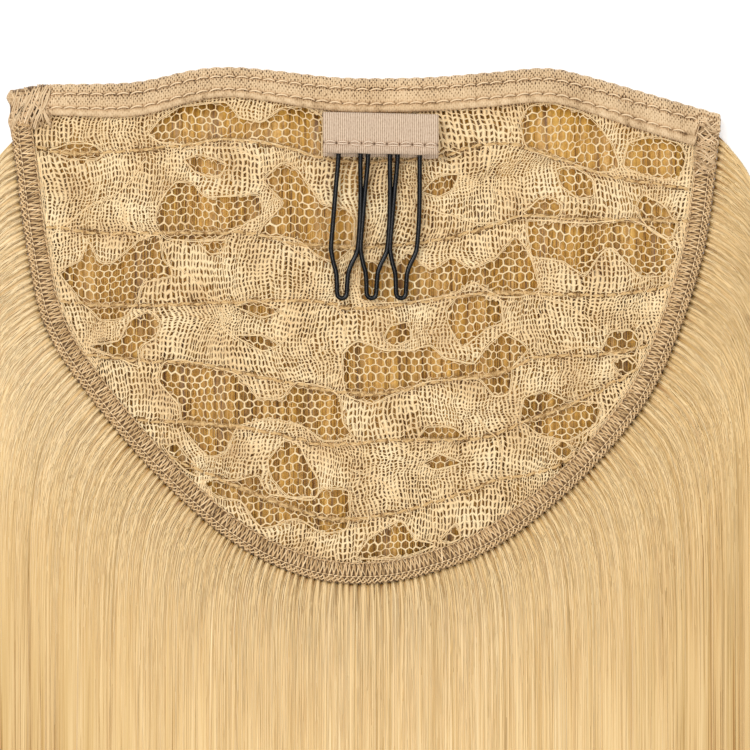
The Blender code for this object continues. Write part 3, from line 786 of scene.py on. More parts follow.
def lace_level(points):
    """The lace's level above the hair: it puffs up between the rows and dips at them."""
    x, y = points[:, 0], points[:, 1]
    depths = row_depths(x)
    levels = [np.zeros(len(x)), *depths, np.full(len(x), -BASE_DEPTH)]
    puff = np.zeros(len(x))
    for above, below in zip(levels, levels[1:]):
        share = (above - y) / np.maximum(above - below, CLEARANCE)
        within = (share > 0) & (share < 1)
        puff[within] = np.sin(math.pi * share[within]) ** 2
    edge = smooth_step((distance_to(EDGE_LINE[::4], points) - SERGING_WIDTH) / SERGING_WIDTH)
    edge *= smooth_step((band_bottom_at(x) - y) / BAND_WIDTH)
    dip = np.zeros(len(x))
    for row, depth in zip(WEFT_ROWS, depths):
        nearness = np.exp(-(((y - depth) / PINCH_REACH) ** 2)) * row_reach(x, row)
        dip = np.maximum(dip, nearness)
    buckle = 0.0003 * waves(points, 0.005, 71)
    return LACE_MIDDLE + (LACE_PUFF * puff + buckle) * edge - PINCH_DEPTH * dip * edge


def window_outlines():
    outlines = []
    for window in WINDOWS:
        rough = smooth_curve(from_photo(window), 4 * CURVE_STEPS, closed=True)
        count = max(round(curve_length(rough) / CORD_STEP), 8)
        outlines.append(smooth_curve(from_photo(window), count + 1, True, WINDOW_CURVE)[:-1])
    return outlines


def in_windows(outlines, points, margin):
    """Which points lie in a window, or within a margin of its edge; a negative margin lies inside."""
    found = np.zeros(len(points), bool)
    for outline in outlines:
        low = outline.min(axis=0) - abs(margin)
        high = outline.max(axis=0) + abs(margin)
        close = np.flatnonzero(np.all((points > low) & (points < high), axis=1))
        within = inside(outline, points[close])
        near = distance_to(outline, points[close]) < abs(margin)
        found[close] |= (within | near) if margin > 0 else (within & ~near)
    return found


def lattice(pitch, row):
    """Centres of a net's cells over the whole base, every other row shifted by half a cell."""
    columns = math.ceil(BASE_WIDTH / pitch) + 4
    rows = math.ceil(BASE_DEPTH / row) + 4
    i, j = np.meshgrid(np.arange(columns), np.arange(rows), indexing="ij")
    x = (i - columns / 2 + 0.5 * (j % 2)) * pitch
    y = (1 - j) * row
    return np.column_stack([x.ravel(), y.ravel()])


def drawn(points, coarse, fine, seed):
    """Lattice points drawn out of line, as cloth is, by a coarse and a fine amount."""
    moved = points.copy()
    for axis in range(2):
        moved[:, axis] += coarse * waves(points, 0.009, seed + axis)
        moved[:, axis] += fine * waves(points, 0.0018, seed + 2 + axis)
    return moved


def open_net(rings, holes, thread, level_shift, seed, coarse, fine):
    """A net from its cells' outer rings and hole rings, arrays of cell by point by 2. Neighbours
    share their outer points, and each thread is thickest along the line between two cells."""
    cells, sides = rings.shape[:2]
    keys = np.round(rings.reshape(-1, 2) / 1e-6 + 0.25).astype(np.int64)
    _, first, shared = np.unique(keys, axis=0, return_index=True, return_inverse=True)
    shared = shared.reshape(-1)
    outer = rings.reshape(-1, 2)[first]
    plan = drawn(np.vstack([outer, holes.reshape(-1, 2)]), coarse, fine, seed)
    plan = pinched(plan)
    level = lace_level(plan) + level_shift
    shared_count = len(outer)
    ridge = raised(plan[:shared_count], level[:shared_count] + thread / 2)
    under = raised(plan[:shared_count], level[:shared_count] - thread / 2)
    rims = raised(plan[shared_count:], level[shared_count:])

    here = shared.reshape(cells, sides)
    beside = np.roll(here, -1, axis=1)
    rim = 2 * shared_count + np.arange(cells * sides).reshape(cells, sides)
    rim_beside = np.roll(rim, -1, axis=1)
    top = np.stack([here, beside, rim_beside, rim], axis=-1).reshape(-1, 4)
    bottom = np.stack([beside, here, rim, rim_beside], axis=-1).reshape(-1, 4)
    bottom[:, :2] += shared_count

    edges = np.column_stack([here.ravel(), beside.ravel()])
    _, which, uses = np.unique(np.sort(edges, axis=1), axis=0, return_index=True, return_counts=True)
    a, b = edges[which[uses == 1]].T
    rim_walls = np.column_stack([b, a, a + shared_count, b + shared_count])
    return np.vstack([ridge, under, rims]), [top, bottom, rim_walls]


def make_net(outlines, region, material):
    """Round net cells in the windows, a little way under the figures round them."""
    centres = lattice(NET_PITCH, NET_ROW)
    centres = centres[inside(region, centres)]
    centres = centres[in_windows(outlines, centres, 0.45 * NET_PITCH)]
    corners = [(0.0, 2 / 3), (-0.5, 1 / 3), (-0.5, -1 / 3), (0.0, -2 / 3), (0.5, -1 / 3), (0.5, 1 / 3)]
    ring = []
    for here, there in zip(corners, corners[1:] + corners[:1]):
        ring += [here, ((here[0] + there[0]) / 2, (here[1] + there[1]) / 2)]
    ring = np.array(ring) * (NET_PITCH, NET_ROW)
    reach = np.hypot(*ring.T)
    thread = np.where(np.arange(12) % 2 == 0, 0.74, 0.5) * NET_THREAD
    hole = ring * (1 - thread / reach)[:, None]
    chance = np.random.default_rng(21)
    size = chance.uniform(0.90, 1.06, (len(centres), 1, 1))
    rings = centres[:, None] + ring
    holes = centres[:, None] + hole * size + chance.normal(0, 0.00002, (len(centres), 12, 2))
    points, faces = open_net(rings, holes, NET_THREAD, -0.0001, 31, NET_SWAY, NET_JITTER)
    tone = 0.25 * waves(points[:, :2], 0.004, 5) + 0.25
    return add_piece("lace_net", shape_of(points, faces, None, tone), material)


def weft_lines():
    """Each weft row's line, finely divided."""
    return [smooth_curve(on_base(row), FINE_STATIONS // 4) for row in WEFT_ROWS]


def stitch_places():
    """The plan points where the weft rows' stitches pass through the lace."""
    return np.vstack([spaced(line, round(curve_length(line) / STITCH_PITCH)) for line in weft_lines()])


def make_toile(outlines, region, material):
    """The dense figures: fine cells with upright slits, larger where the stitches pass through."""
    columns = math.ceil(BASE_WIDTH / TOILE_PITCH) + 2
    rows = math.ceil(BASE_DEPTH / TOILE_ROW) + 4
    i, j = np.meshgrid(np.arange(columns), np.arange(rows), indexing="ij")
    centres = np.column_stack([((i - columns / 2) * TOILE_PITCH).ravel(), ((2 - j) * TOILE_ROW).ravel()])
    placed = pinched(drawn(centres, TOILE_SWAY, TOILE_JITTER, 41))
    keep = inside(region, placed) & ~in_windows(outlines, placed, -0.0001)
    centres, placed = centres[keep], placed[keep]
    corners = np.array([(-0.5, 0.5), (-0.5, -0.5), (0.5, -0.5), (0.5, 0.5)]) * (TOILE_PITCH, TOILE_ROW)
    chance = np.random.default_rng(22)
    satin = smooth_step((waves(placed, 0.0045, 15) - 0.55) / 0.5)
    opening = 0.43 + 0.09 * waves(placed, 0.004, 6) + chance.normal(0, 0.10, len(centres)) - 0.10 * satin
    opening = np.clip(opening, 0.06, 0.72)
    tall = np.clip(0.66 - 0.2 * satin + chance.normal(0, 0.13, len(centres)), 0.25, 0.88)
    closed = chance.uniform(0, 1, len(centres)) < 0.07
    opening[closed] = 0.05
    pulled = distance_to(np.vstack(weft_lines()), placed) < 0.00055
    pulled &= waves(placed, 0.0025, 16) > 0.5
    torn = pulled | (distance_to(stitch_places(), placed) < 0.00045)
    opening[torn] = 0.92
    tall[torn] = 0.92
    offset = chance.normal(0, 0.00004, (len(centres), 1, 2))
    rings = centres[:, None] + corners
    holes = centres[:, None] + corners * np.column_stack([opening, tall])[:, None] + offset
    for plan in (rings, holes):
        plan[..., 1] += TOILE_ZIGZAG * np.sin(math.pi * plan[..., 0] / TOILE_PITCH)
    points, faces = open_net(rings, holes, TOILE_THREAD, TOILE_RISE, 41, TOILE_SWAY, TOILE_JITTER)
    tone = 0.35 * waves(points[:, :2], 0.005, 7) + 0.15
    shape = shape_of(points, faces, None, tone)
    return add_piece("lace_toile", shape, material)


def make_lace_cords(outlines, material):
    """The threads that outline the figures, two side by side, and the veins within them."""
    shapes = []
    chance = np.random.default_rng(23)
    veins = [(smooth_curve(from_photo(vein), 40), False) for vein in VEINS]
    lines = [(outline, True) for outline in outlines]
    for line, closed in lines + veins:
        if not closed:
            line = spaced(line, max(round(curve_length(line) / CORD_STEP), 6))
        if closed:
            along = np.roll(line, -1, axis=0) - np.roll(line, 1, axis=0)
        else:
            along = np.gradient(line, axis=0)
        along /= np.hypot(*along.T)[:, None]
        aside = np.column_stack([along[:, 1], -along[:, 0]])
        for lane in (-1, 1):
            sway = lane * 0.9 * CORD_RADIUS + 0.00008 * waves(line, 0.002, 50 + lane)
            plan = pinched(line + aside * sway[:, None])
            high = 0.00008 * waves(line, 0.0015, 60 + lane)
            path = raised(plan, lace_level(plan) + TOILE_RISE + TOILE_THREAD / 2 + high)
            tone = 0.15 + chance.uniform(-0.2, 0.2)
            shapes.append(threads(path[None], CORD_RADIUS, 4, closed=closed, tone=tone))
    for lane in range(4):
        inset = SERGING_WIDTH + CORD_RADIUS * (1 + 2.6 * lane)
        for start, end in ((0.006, 0.052), (0.175, 0.243)):
            run = np.linspace(start, end, round((end - start) / CORD_STEP))
            plan = on_edge(run, inset)
            plan = plan + 0.0001 * np.stack([waves(plan, 0.004, 80 + lane), 0 * run], axis=-1)
            path = raised(plan, lace_level(plan) + TOILE_RISE + TOILE_THREAD / 2)
            shapes.append(threads(path[None], CORD_RADIUS, 4, tone=0.3))
    return add_piece("lace_outlines", joined(shapes), material)


def make_weft_stitching(material):
    """The sewing along each weft row: two strands twisted together, dipping at each stitch."""
    shapes = []
    for number, row in enumerate(WEFT_ROWS):
        curve = smooth_curve(on_base(row), FINE_STATIONS)
        curve = curve[distance_to(EDGE_LINE[::4], curve) > SERGING_WIDTH]
        length = curve_length(curve)
        count = round(length / 0.00040)
        curve = spaced(curve, count)
        run = np.linspace(0, length, count)
        aside = right_of(curve)
        plan = curve + aside * (0.00016 * waves(curve, 0.002, 90 + number))[:, None]
        dip = smooth_step((np.cos(2 * math.pi * run / STITCH_PITCH) - 0.45) / 0.55)
        for ply in range(2):
            turn = 2 * math.pi * run / (0.8 * STITCH_PITCH) + ply * math.pi
            twisted = plan + aside * (0.00015 * np.cos(turn))[:, None]
            level = lace_level(twisted) + 0.00050 + 0.0001 * np.sin(turn) - 0.0012 * dip
            radius = 0.00017 * (1 - 0.35 * dip)
            # Painted shade: the thread is darker where it dips into the lace at each stitch.
            tone = -1.0 * dip[None] + 0.3 * ply
            shapes.append(threads(raised(twisted, level)[None], radius[None], 5, tone=tone))
    return add_piece("weft_stitching", joined(shapes), material)


def make_weft_tracks(material):
    """The rows' sewn tops: strips of hair folded over a thread, ribbed across."""
    shapes = []
    for number, row in enumerate(WEFT_ROWS):
        path = smooth_curve(on_base(row), FINE_STATIONS)
        path = path[distance_to(EDGE_LINE[::4], path) > SERGING_WIDTH + TRACK_WIDTH]
        count = round(curve_length(path) / 0.00026)
        path = spaced(path, count)
        aside = right_of(path)
        chance = np.random.default_rng(100 + number)
        ridge = np.where(np.arange(count) % 2 == 0, 1.0, 0.62) * chance.uniform(0.85, 1.0, count)
        angles = 2 * math.pi * (np.arange(6) + 0.5) / 6
        across = np.cos(angles)[None, :] * (0.38 * TRACK_WIDTH) * ridge[:, None]
        level = CLEARANCE + TRACK_THICKNESS * (0.4 + 0.45 * np.sin(angles)[None, :] * ridge[:, None])
        plan = path[:, None] - aside[:, None] * across[..., None]
        points = raised(plan, level)
        ends = [np.arange(6)[None], (count * 6 - 1 - np.arange(6))[None]]
        faces = [grid_quads(count, 6, wrap=True), *[end[:, ::-1] for end in ends]]
        flow = np.stack([np.arange(count)[:, None] * 0.00026 + 0 * across, across], axis=-1)
        tone = np.repeat(chance.uniform(-0.9, 0.3, count), 6)
        shapes.append(shape_of(points, faces, flow, tone))
    nodes = [f"weft_track_{number}" for number in range(1, len(WEFT_ROWS) + 1)]
    return add_piece("weft_tracks", joined(shapes), material, nodes)


# The band, the overlocked edge and the tab

def folded_cloth(outer, inward, widths, fold, shares, front, flow_run):
    """Cloth folded over an edge. The front's levels come in an array of station by share."""
    count = len(outer)
    rounding = min(EDGE_ROUNDING, fold)
    back = [(widths, BACK_BOTTOM), (rounding, BACK_BOTTOM), (0.0, BACK_BOTTOM + rounding)]
    inner = [(widths, FRONT_BOTTOM), (fold, FRONT_BOTTOM), (fold, BACK_TOP), (widths, BACK_TOP)]
    depths, levels = [], []
    for depth, level in back:
        depths.append(np.broadcast_to(depth, count))
        levels.append(np.full(count, level))
    for i, share in enumerate(shares):
        depths.append(share * widths)
        levels.append(front[:, i])
    for depth, level in inner:
        depths.append(np.broadcast_to(depth, count))
        levels.append(np.full(count, level))
    depths = np.stack(depths, axis=1)
    levels = np.stack(levels, axis=1)
    points = raised(outer[:, None, :2] + inward[:, None] * depths[..., None], levels)
    ring = points.shape[1]
    faces = [
        grid_quads(count, ring, wrap=True),
        np.arange(ring)[None, ::-1],
        (count * ring - ring + np.arange(ring))[None],
    ]
    flow = np.stack([np.broadcast_to(flow_run[:, None], depths.shape), depths], axis=-1)
    return points, faces, flow


def sewn_at(run):
    """1 where a stitch enters the band and 0 halfway along it."""
    return (0.5 + 0.5 * np.cos(2 * math.pi * run / STITCH_PITCH)) ** 2


def stitch_dips(s, t):
    """How far the two rows of stitches pull the band down, as 0 to 1."""
    return sum(np.exp(-(((t - place) / 0.04) ** 2)) for place in BAND_STITCHES) * (0.5 + 0.5 * sewn_at(s))


def band_front(run, shares):
    """The band's levels: a rolled top edge, dips at the two stitch rows and fine ribs."""
    s = run[:, None]
    t = np.array(shares)[None, :]
    roll = FRONT_TOP - 0.0011 * np.exp(-t / 0.05) - 0.0003 * smooth_step((t - 0.93) / 0.07)
    loose = 1 - sewn_at(s)
    puff = 0.00022 * np.sin(math.pi * np.clip(t / BAND_STITCHES[0], 0, 1)) * loose
    middle = np.clip((t - BAND_STITCHES[0]) / (BAND_STITCHES[1] - BAND_STITCHES[0]), 0, 1)
    puff = puff + 0.00016 * np.sin(math.pi * middle) * loose
    upper = smooth_step((BAND_STITCHES[0] - t) / 0.06 + 0.5)
    wander = 0.00025 * waves(np.stack([run, 0 * run], axis=-1), 0.004, 11)[:, None]
    ribs = (0.00008 * upper + 0.00002) * np.cos(2 * math.pi * (s + wander) / RIB_PITCH)
    return roll - 0.00055 * stitch_dips(s, t) + puff + ribs * (t > 0.01)


def make_band(material):
    """Ribbed tape folded over the lace's top edge, gathered a little by its stitches."""
    length = curve_length(band_cloth_line(FINE_STATIONS))
    count = round(length / (RIB_PITCH / 4))
    sections = band_cloth_line(count)
    run = np.linspace(0, length, count)
    shares = [0.0, 0.03, 0.07, 0.13, 0.20, 0.26, 0.30, 0.33, 0.36, 0.40, 0.48, 0.58, 0.67, 0.72, 0.76, 0.80,
              0.86, 0.93, 1.0]
    scallop = SCALLOP * (1 - sewn_at(run))
    outer = sections[:, :2] + np.column_stack([0 * run, scallop])
    down = np.tile([0.0, -1.0], (count, 1))
    narrowed = sections[:, 3]
    widths = sections[:, 2] * BAND_WIDTH * (1 - (1 - BAND_END_SHARE) * narrowed) + scallop
    front = band_front(run, shares) + BAND_END_RISE * narrowed[:, None]
    points, faces, flow = folded_cloth(outer, down, widths, BAND_FOLD, shares, front, run)
    place = flow[..., 1] / widths[:, None]
    tone = 0.15 * waves(flow, 0.006, 8) + 0.2 * waves(flow, 0.0012, 17) * (place > BAND_STITCHES[1])
    corner = smooth_step((CORNER_WIDTH - flow[..., 0]) / 0.001)
    # Painted shade: darker in the dips at the stitch rows, and on the band's left end where the corner threads lie
    # over it.
    tone = tone - 1.1 * stitch_dips(flow[..., 0], place) - 1.0 * corner
    band = add_piece("band_tape", shape_of(points, faces, flow, tone.ravel()), material, ["top_band"])
    return band


def stitch_row(places, aside, level, length_share, bow, slant, radius, tone):
    """Stitches between places in a row: each an arched thread that dives in at both ends."""
    start, end = places[:-1], places[1:]
    t = np.linspace(0, 1, 9)[None, :, None]
    reach = (1 - length_share) / 2
    share = reach + t * length_share
    plan = start[:, None] * (1 - share) + end[:, None] * share
    arch = np.sin(math.pi * t)
    plan = plan + aside[:-1, None] * (bow * arch + slant * (t - 0.5))
    height = level[:-1, None] * (1 - share[..., 0]) + level[1:, None] * share[..., 0]
    height = height + radius * (3.4 * arch[..., 0] ** 0.6 - 2.0)
    return threads(raised(plan, height), radius, 5, tone=tone)


def make_band_stitches(material):
    """The band's two rows of lockstitch, with their stitches where the band dips."""
    shapes = []
    chance = np.random.default_rng(24)
    length = curve_length(band_cloth_line(FINE_STATIONS))
    whole = band_cloth_line(FINE_STATIONS)
    for place in BAND_STITCHES:
        run = np.arange(0, length, STITCH_PITCH)
        spots = run / length * (FINE_STATIONS - 1)
        sections = np.column_stack([np.interp(spots, np.arange(FINE_STATIONS), column) for column in whole.T])
        if place > BAND_END_SHARE:
            sections = sections[sections[:, 3] < 0.01]
        count = len(sections)
        depth = sections[:, 2] * BAND_WIDTH * place
        plan = sections[:, :2] - np.column_stack([0 * depth, depth])
        plan[:, 1] += chance.normal(0, 0.00007, count)
        aside = -right_of(plan)
        level = FRONT_TOP + BAND_END_RISE * sections[:, 3]
        shapes.append(stitch_row(plan, aside, level, 0.9, 0.00026, 0.00018, BAND_STITCH, 0.8))
    return add_piece("band_stitches", joined(shapes), material)


def serging_level(share):
    """The overlocked edge's level by the share of its width in from its outer line."""
    hump = np.clip(1 - np.abs(2 * share - 1) ** 3, 0, None)
    wrap = 0.0022 * np.clip(-share / 0.05, 0, 1)
    return FRONT_BOTTOM - 0.0002 + 0.00095 * hump - wrap


def make_serging_body(material):
    """The cloth edge under the overlock threads."""
    count = round(EDGE_LENGTH / 0.0012)
    run = np.linspace(0, EDGE_LENGTH, count)
    shares = [0.0, 0.1, 0.25, 0.45, 0.65, 0.85, 1.0]
    front = np.tile(serging_level(np.array(shares)) - 0.00022, (count, 1))
    outer = on_edge(run, np.zeros(count))
    inward = (on_edge(run, np.full(count, 0.001)) - outer) / 0.001
    widths = np.full(count, SERGING_WIDTH)
    points, faces, flow = folded_cloth(outer, inward, widths, SERGING_FOLD, shares, front, run)
    tone = np.full(points.shape[:2], -0.55).ravel()
    return shape_of(points, [face[:, ::-1] for face in faces], flow, tone)


def edge_threads(runs, shares, radius, rise, tone, sides=4):
    """Threads over the overlocked edge, by runs along it and shares of its width, thread by point."""
    plan = on_edge(runs, shares * SERGING_WIDTH)
    level = serging_level(shares) + rise
    return threads(raised(plan, level), radius, sides, tone=tone)


def make_serging(material):
    """The overlock: close threads in a zigzag, wraps over the edge, and threads that run along it."""
    chance = np.random.default_rng(25)
    shapes = [make_serging_body(material)]
    t = np.linspace(0, 1, 7)[None, :]
    count = round(EDGE_LENGTH / SERGING_PITCH)
    slant = np.where(np.arange(count) % 2 == 0, 1.0, -1.0)[:, None] * chance.uniform(0.7, 1.2, (count, 1))
    start = np.arange(count)[:, None] * SERGING_PITCH + chance.normal(0, 0.00005, (count, 1))
    runs = np.clip(start + 1.1 * SERGING_PITCH * slant * (t - 0.5), 0, EDGE_LENGTH)
    first = SERGING_CHAIN - 0.02 + chance.normal(0, 0.02, (count, 1))
    last = 0.99 + chance.normal(0, 0.025, (count, 1))
    bulge = 0.00010 * slant + 0.00015 * np.sin(math.pi * t)
    tone = chance.normal(0.15, 0.28, (count, 1))
    shapes.append(edge_threads(runs, first + (last - first) * t, 1.35 * SERGING_THREAD, bulge, tone))

    crossings = count // 2
    start = 2 * SERGING_PITCH * (np.arange(crossings)[:, None] + chance.uniform(0, 0.5, (crossings, 1)))
    runs = np.clip(start + 0.0011 * (t - 0.5), 0, EDGE_LENGTH)
    tone = chance.normal(0.45, 0.3, (crossings, 1))
    bulge = 0.00022 + 0.00008 * np.sin(math.pi * t)
    shares = 0.94 + (SERGING_CHAIN - 0.90) * t
    shapes.append(edge_threads(runs, shares, 0.7 * SERGING_THREAD, bulge, tone, 3))

    wraps = round(EDGE_LENGTH / WRAP_PITCH)
    start = np.arange(wraps)[:, None] * WRAP_PITCH + chance.normal(0, 0.00006, (wraps, 1))
    runs = np.clip(start + 1.3 * WRAP_PITCH * (t - 0.5), 0, EDGE_LENGTH)
    shares = SERGING_CHAIN - 0.04 - SERGING_CHAIN * t + chance.normal(0, 0.01, (wraps, 1))
    tone = chance.normal(-0.15, 0.3, (wraps, 1))
    shapes.append(edge_threads(runs, shares, 1.35 * SERGING_THREAD, 0 * t, tone))

    fine = np.linspace(0, EDGE_LENGTH, round(EDGE_LENGTH / 0.00024))[None]
    uneven = 0.9 * waves(np.stack([fine, 0 * fine], axis=-1), 0.004, 45)
    for share, swing, turn, light in OVERLOCK_THREADS:
        wave = 2 * math.pi * fine / LOOP_STITCH_PITCH + uneven + turn
        rise = 0.00018 + 0.00010 * np.cos(wave)
        # Painted light and shade: each thread is lighter where it rises and darker where it sinks between the loops.
        tone = light + 0.35 * np.cos(wave)
        shapes.append(edge_threads(fine, share + swing * np.sin(wave), SERGING_THREAD, rise, tone))
    return add_piece("serging", joined(shapes), material, ["serged_edge"])


def corner_side(down):
    """The band's left end, x by the depth below the band's top, with the lumps of the run-off."""
    arm = EDGE_LINE[:FINE_STATIONS // 4]
    corner, top = band_line(FINE_STATIONS)[0, :2]
    lumps = np.exp(-(((down - 0.0011) / 0.0011) ** 2)) + 0.6 * np.exp(-(((down - 0.0056) / 0.0013) ** 2))
    return np.minimum(np.interp(down - top, -arm[:, 1], arm[:, 0]), corner) - 0.0008 * lumps


def corner_thread(x, y, rise, radius, tone):
    """Threads over the band's left end, an array of thread by point, turned down past its edges."""
    sections = band_line(FINE_STATIONS)
    t = (np.interp(x, sections[:, 0], sections[:, 1]) - y) / BAND_WIDTH
    x = np.maximum(x, corner_side(sections[0, 1] - y))
    past = np.clip((corner_side(sections[0, 1] - y) + 0.0007 - x) / 0.0007, 0, 1) ** 2
    fall = 0.0011 * np.exp(-np.clip(t, 0, 2) / 0.05) + 0.0009 * smooth_step((t - 0.88) / 0.3)
    level = FRONT_TOP + rise - fall - 0.0016 * np.clip(-t / 0.05, 0, 1) - 0.0027 * past
    level = np.maximum(level, BACK_BOTTOM)
    return threads(raised(np.stack([x, y], axis=-1), level), radius, 4, tone=tone)


def right_corner_threads(chance):
    """The overlock's threads where it runs onto the band's right end: slanted, in two layers."""
    t = np.linspace(0, 1, 9)[None, :]
    count = 17
    shapes = []
    for slant, rise in ((0.0034, 0.00016), (-0.0026, 0.00032)):
        depth = 0.0014 + RIGHT_CORNER_DEPTH * (np.arange(count)[:, None] + chance.uniform(0, 0.6, (count, 1))) / count
        lean = slant * chance.uniform(0.5, 1.2, (count, 1))
        depth = depth - lean * (t - 0.5) + 0.00012 * np.sin(3 * math.pi * t + 900 * depth)
        depth = np.clip(depth, 0.0009, None)
        share = chance.uniform(0.85, 1.15, (count, 1)) - t * chance.uniform(0.80, 1.10, (count, 1))
        share = np.clip(share, 0.02, None)
        plan = on_edge(EDGE_LENGTH - depth, share * SERGING_WIDTH)
        over_band = smooth_step((0.0042 - depth) / 0.0010)
        level = FRONT_TOP - 0.0002 + (BAND_END_RISE + 0.0002) * over_band + rise
        level = level - 0.0005 * (2 * t - 1) ** 6
        tone = chance.normal(-0.05, 0.4, (count, 1))
        shapes.append(threads(raised(plan, level), 0.00018, 4, tone=tone))
    return shapes


def make_corner_threads(material):
    """The overlock's run-off over the band's left end: close wraps at its side, and threads that
    cross over them."""
    chance = np.random.default_rng(26)
    sections = band_line(FINE_STATIONS)
    corner, top = sections[0, :2]
    t = np.linspace(0, 1, 12)[None, :]
    wraps = 40
    down = -0.0003 + (BAND_WIDTH + 0.0026) * np.arange(wraps)[:, None] / wraps
    reach = chance.uniform(0.0022, 0.0044, (wraps, 1))
    x = corner_side(down) + reach * t
    y = top - down + chance.normal(0.0, 0.0004, (wraps, 1)) * t - 0.0003 * np.sin(math.pi * t)
    tone = chance.normal(0.0, 0.3, (wraps, 1)) - 0.3 * t
    shapes = [corner_thread(x, y, 0.00004, 0.00021, tone)]
    for slant, rise in ((0.0034, 0.00020), (-0.0030, 0.00036)):
        count = 20
        middle = corner + CORNER_WIDTH * (np.arange(count)[:, None] + chance.uniform(0, 0.5, (count, 1))) / count
        first = chance.uniform(-0.05, 0.25, (count, 1))
        last = chance.uniform(0.80, 1.30, (count, 1))
        lean = slant * chance.uniform(0.5, 1.3, (count, 1))
        x = middle + lean * (t - 0.5) + 0.00014 * np.sin(3 * math.pi * t + middle * 4000)
        x = np.clip(x, corner - 0.0004, corner + CORNER_WIDTH + 0.0004)
        y = np.interp(x, sections[:, 0], sections[:, 1]) - (first + (last - first) * t) * BAND_WIDTH
        tone = chance.normal(0.25, 0.35, (count, 1))
        shapes.append(corner_thread(x, y, rise, 0.00019, tone))
    shapes += right_corner_threads(chance)
    return add_piece("corner_threads", joined(shapes), material)


def tab_top():
    """The tab's upper end, just below the band."""
    corners = np.array([TAB_OFFSET - TAB_WIDTH / 2, TAB_OFFSET, TAB_OFFSET + TAB_WIDTH / 2])
    return float(np.min(band_bottom_at(corners))) - CLEARANCE


def tab_level():
    """The tab's underside, clear of the lace all along it."""
    low_end = tab_top() - TAB_LENGTH
    return float(pile_height(TAB_OFFSET, low_end)) + LACE_TOP + LACE_PUFF + CLEARANCE


TAB_STITCH_PLACE = 0.75
TAB_TILT = 0.022
TAB_RING_SHARES = np.array([0.0, 0.02, 0.05, 0.1, 0.2, 0.35, 0.5, 0.62, 0.68, 0.72, 0.75, 0.78, 0.82, 0.88,
                            0.94, 0.98, 1.0])


def tab_stitch_ends():
    """Where the tab's stitches pass through it."""
    half = TAB_WIDTH / 2 - 0.0002
    return TAB_OFFSET + np.linspace(-half, half, round(TAB_WIDTH / STITCH_PITCH) + 1)


def tab_seam(x, share):
    """How deep the tab's seam is, as 0 to 1: deepest where a stitch passes through."""
    nearest = np.min(np.abs(x[:, None] - tab_stitch_ends()), axis=1)
    along_row = np.exp(-(((share - TAB_STITCH_PLACE) / 0.032) ** 2))
    return (0.30 + 0.70 * np.exp(-((nearest / 0.00042) ** 2))) * along_row


def tab_front(x, share):
    """The tab's front: flat, with a dip at its stitches and a rounded hem below them."""
    dip = 0.00070 * tab_seam(x, share)
    hem = 0.0005 * smooth_step((share - 0.93) / 0.07) ** 2
    fold = 0.0009 * np.exp(-share / 0.02)
    ribs = 0.00004 * np.cos(2 * math.pi * x / TAB_RIB_PITCH)
    sides = 0.0003 * smooth_step((np.abs(x - TAB_OFFSET) - TAB_WIDTH / 2 + 0.0006) / 0.0006) ** 2
    return -dip - hem - fold + ribs - sides


def make_tab(material):
    """The comb's tab: ribbon folded at its upper end, its back layer a little longer."""
    top = tab_top()
    low = tab_level()
    slot = WIRE_DIAMETER + 2 * CLEARANCE
    high = low + 2 * CLOTH_WALL + slot
    count = round(TAB_WIDTH / (TAB_RIB_PITCH / 4))
    x = np.linspace(TAB_OFFSET - TAB_WIDTH / 2, TAB_OFFSET + TAB_WIDTH / 2, count)
    back_end = top - TAB_LENGTH - 0.6 * TAB_BACK_EXTRA
    fraying = 0.00010 * waves(np.column_stack([x, 0 * x]), 0.0015, 9)
    ring_y = [back_end + fraying, np.full(count, top - 0.0008), np.full(count, top - 0.0002)]
    ring_z = [np.full(count, low + 0.0002), np.full(count, low), np.full(count, low + 0.0006)]
    for share in TAB_RING_SHARES:
        ring_y.append(top - share * TAB_LENGTH - 0.00006 * np.sin(x * 900) * share)
        ring_z.append(high + tab_front(x, share))
    front_end = top - TAB_LENGTH
    for y, z in (
        (front_end + 0.0002, high - CLOTH_WALL),
        (top - CLOTH_WALL, high - CLOTH_WALL),
        (top - CLOTH_WALL, low + CLOTH_WALL),
        (front_end, low + CLOTH_WALL - 0.0002),
    ):
        ring_y.append(np.full(count, y))
        ring_z.append(np.full(count, z))
    ring_y.append(back_end + fraying)
    ring_z.append(np.full(count, low + 0.0006))
    y = np.stack(ring_y, axis=1)
    z = np.stack(ring_z, axis=1)
    share = (top - y) / TAB_LENGTH
    seam = np.stack([tab_seam(x, column) for column in share.T], axis=1)
    y = y - TAB_TILT * (x - TAB_OFFSET)[:, None]
    points = np.stack([np.broadcast_to(x[:, None], y.shape), y, z], axis=-1)
    ring = points.shape[1]
    faces = [
        grid_quads(count, ring, wrap=True),
        np.arange(ring)[None, ::-1],
        (count * ring - ring + np.arange(ring))[None],
    ]
    flow = points[..., :2]
    # Painted shade: darker along the seam's crease and most at the holes where the stitches pass through; a little
    # darker below the stitch row.
    tone = 0.05 - 0.12 * smooth_step((share - TAB_STITCH_PLACE) / 0.08) - 1.6 * seam**2
    tab = add_piece("tab_ribbon", shape_of(points, faces, flow, tone.ravel()), material, ["comb_tab"])
    return tab


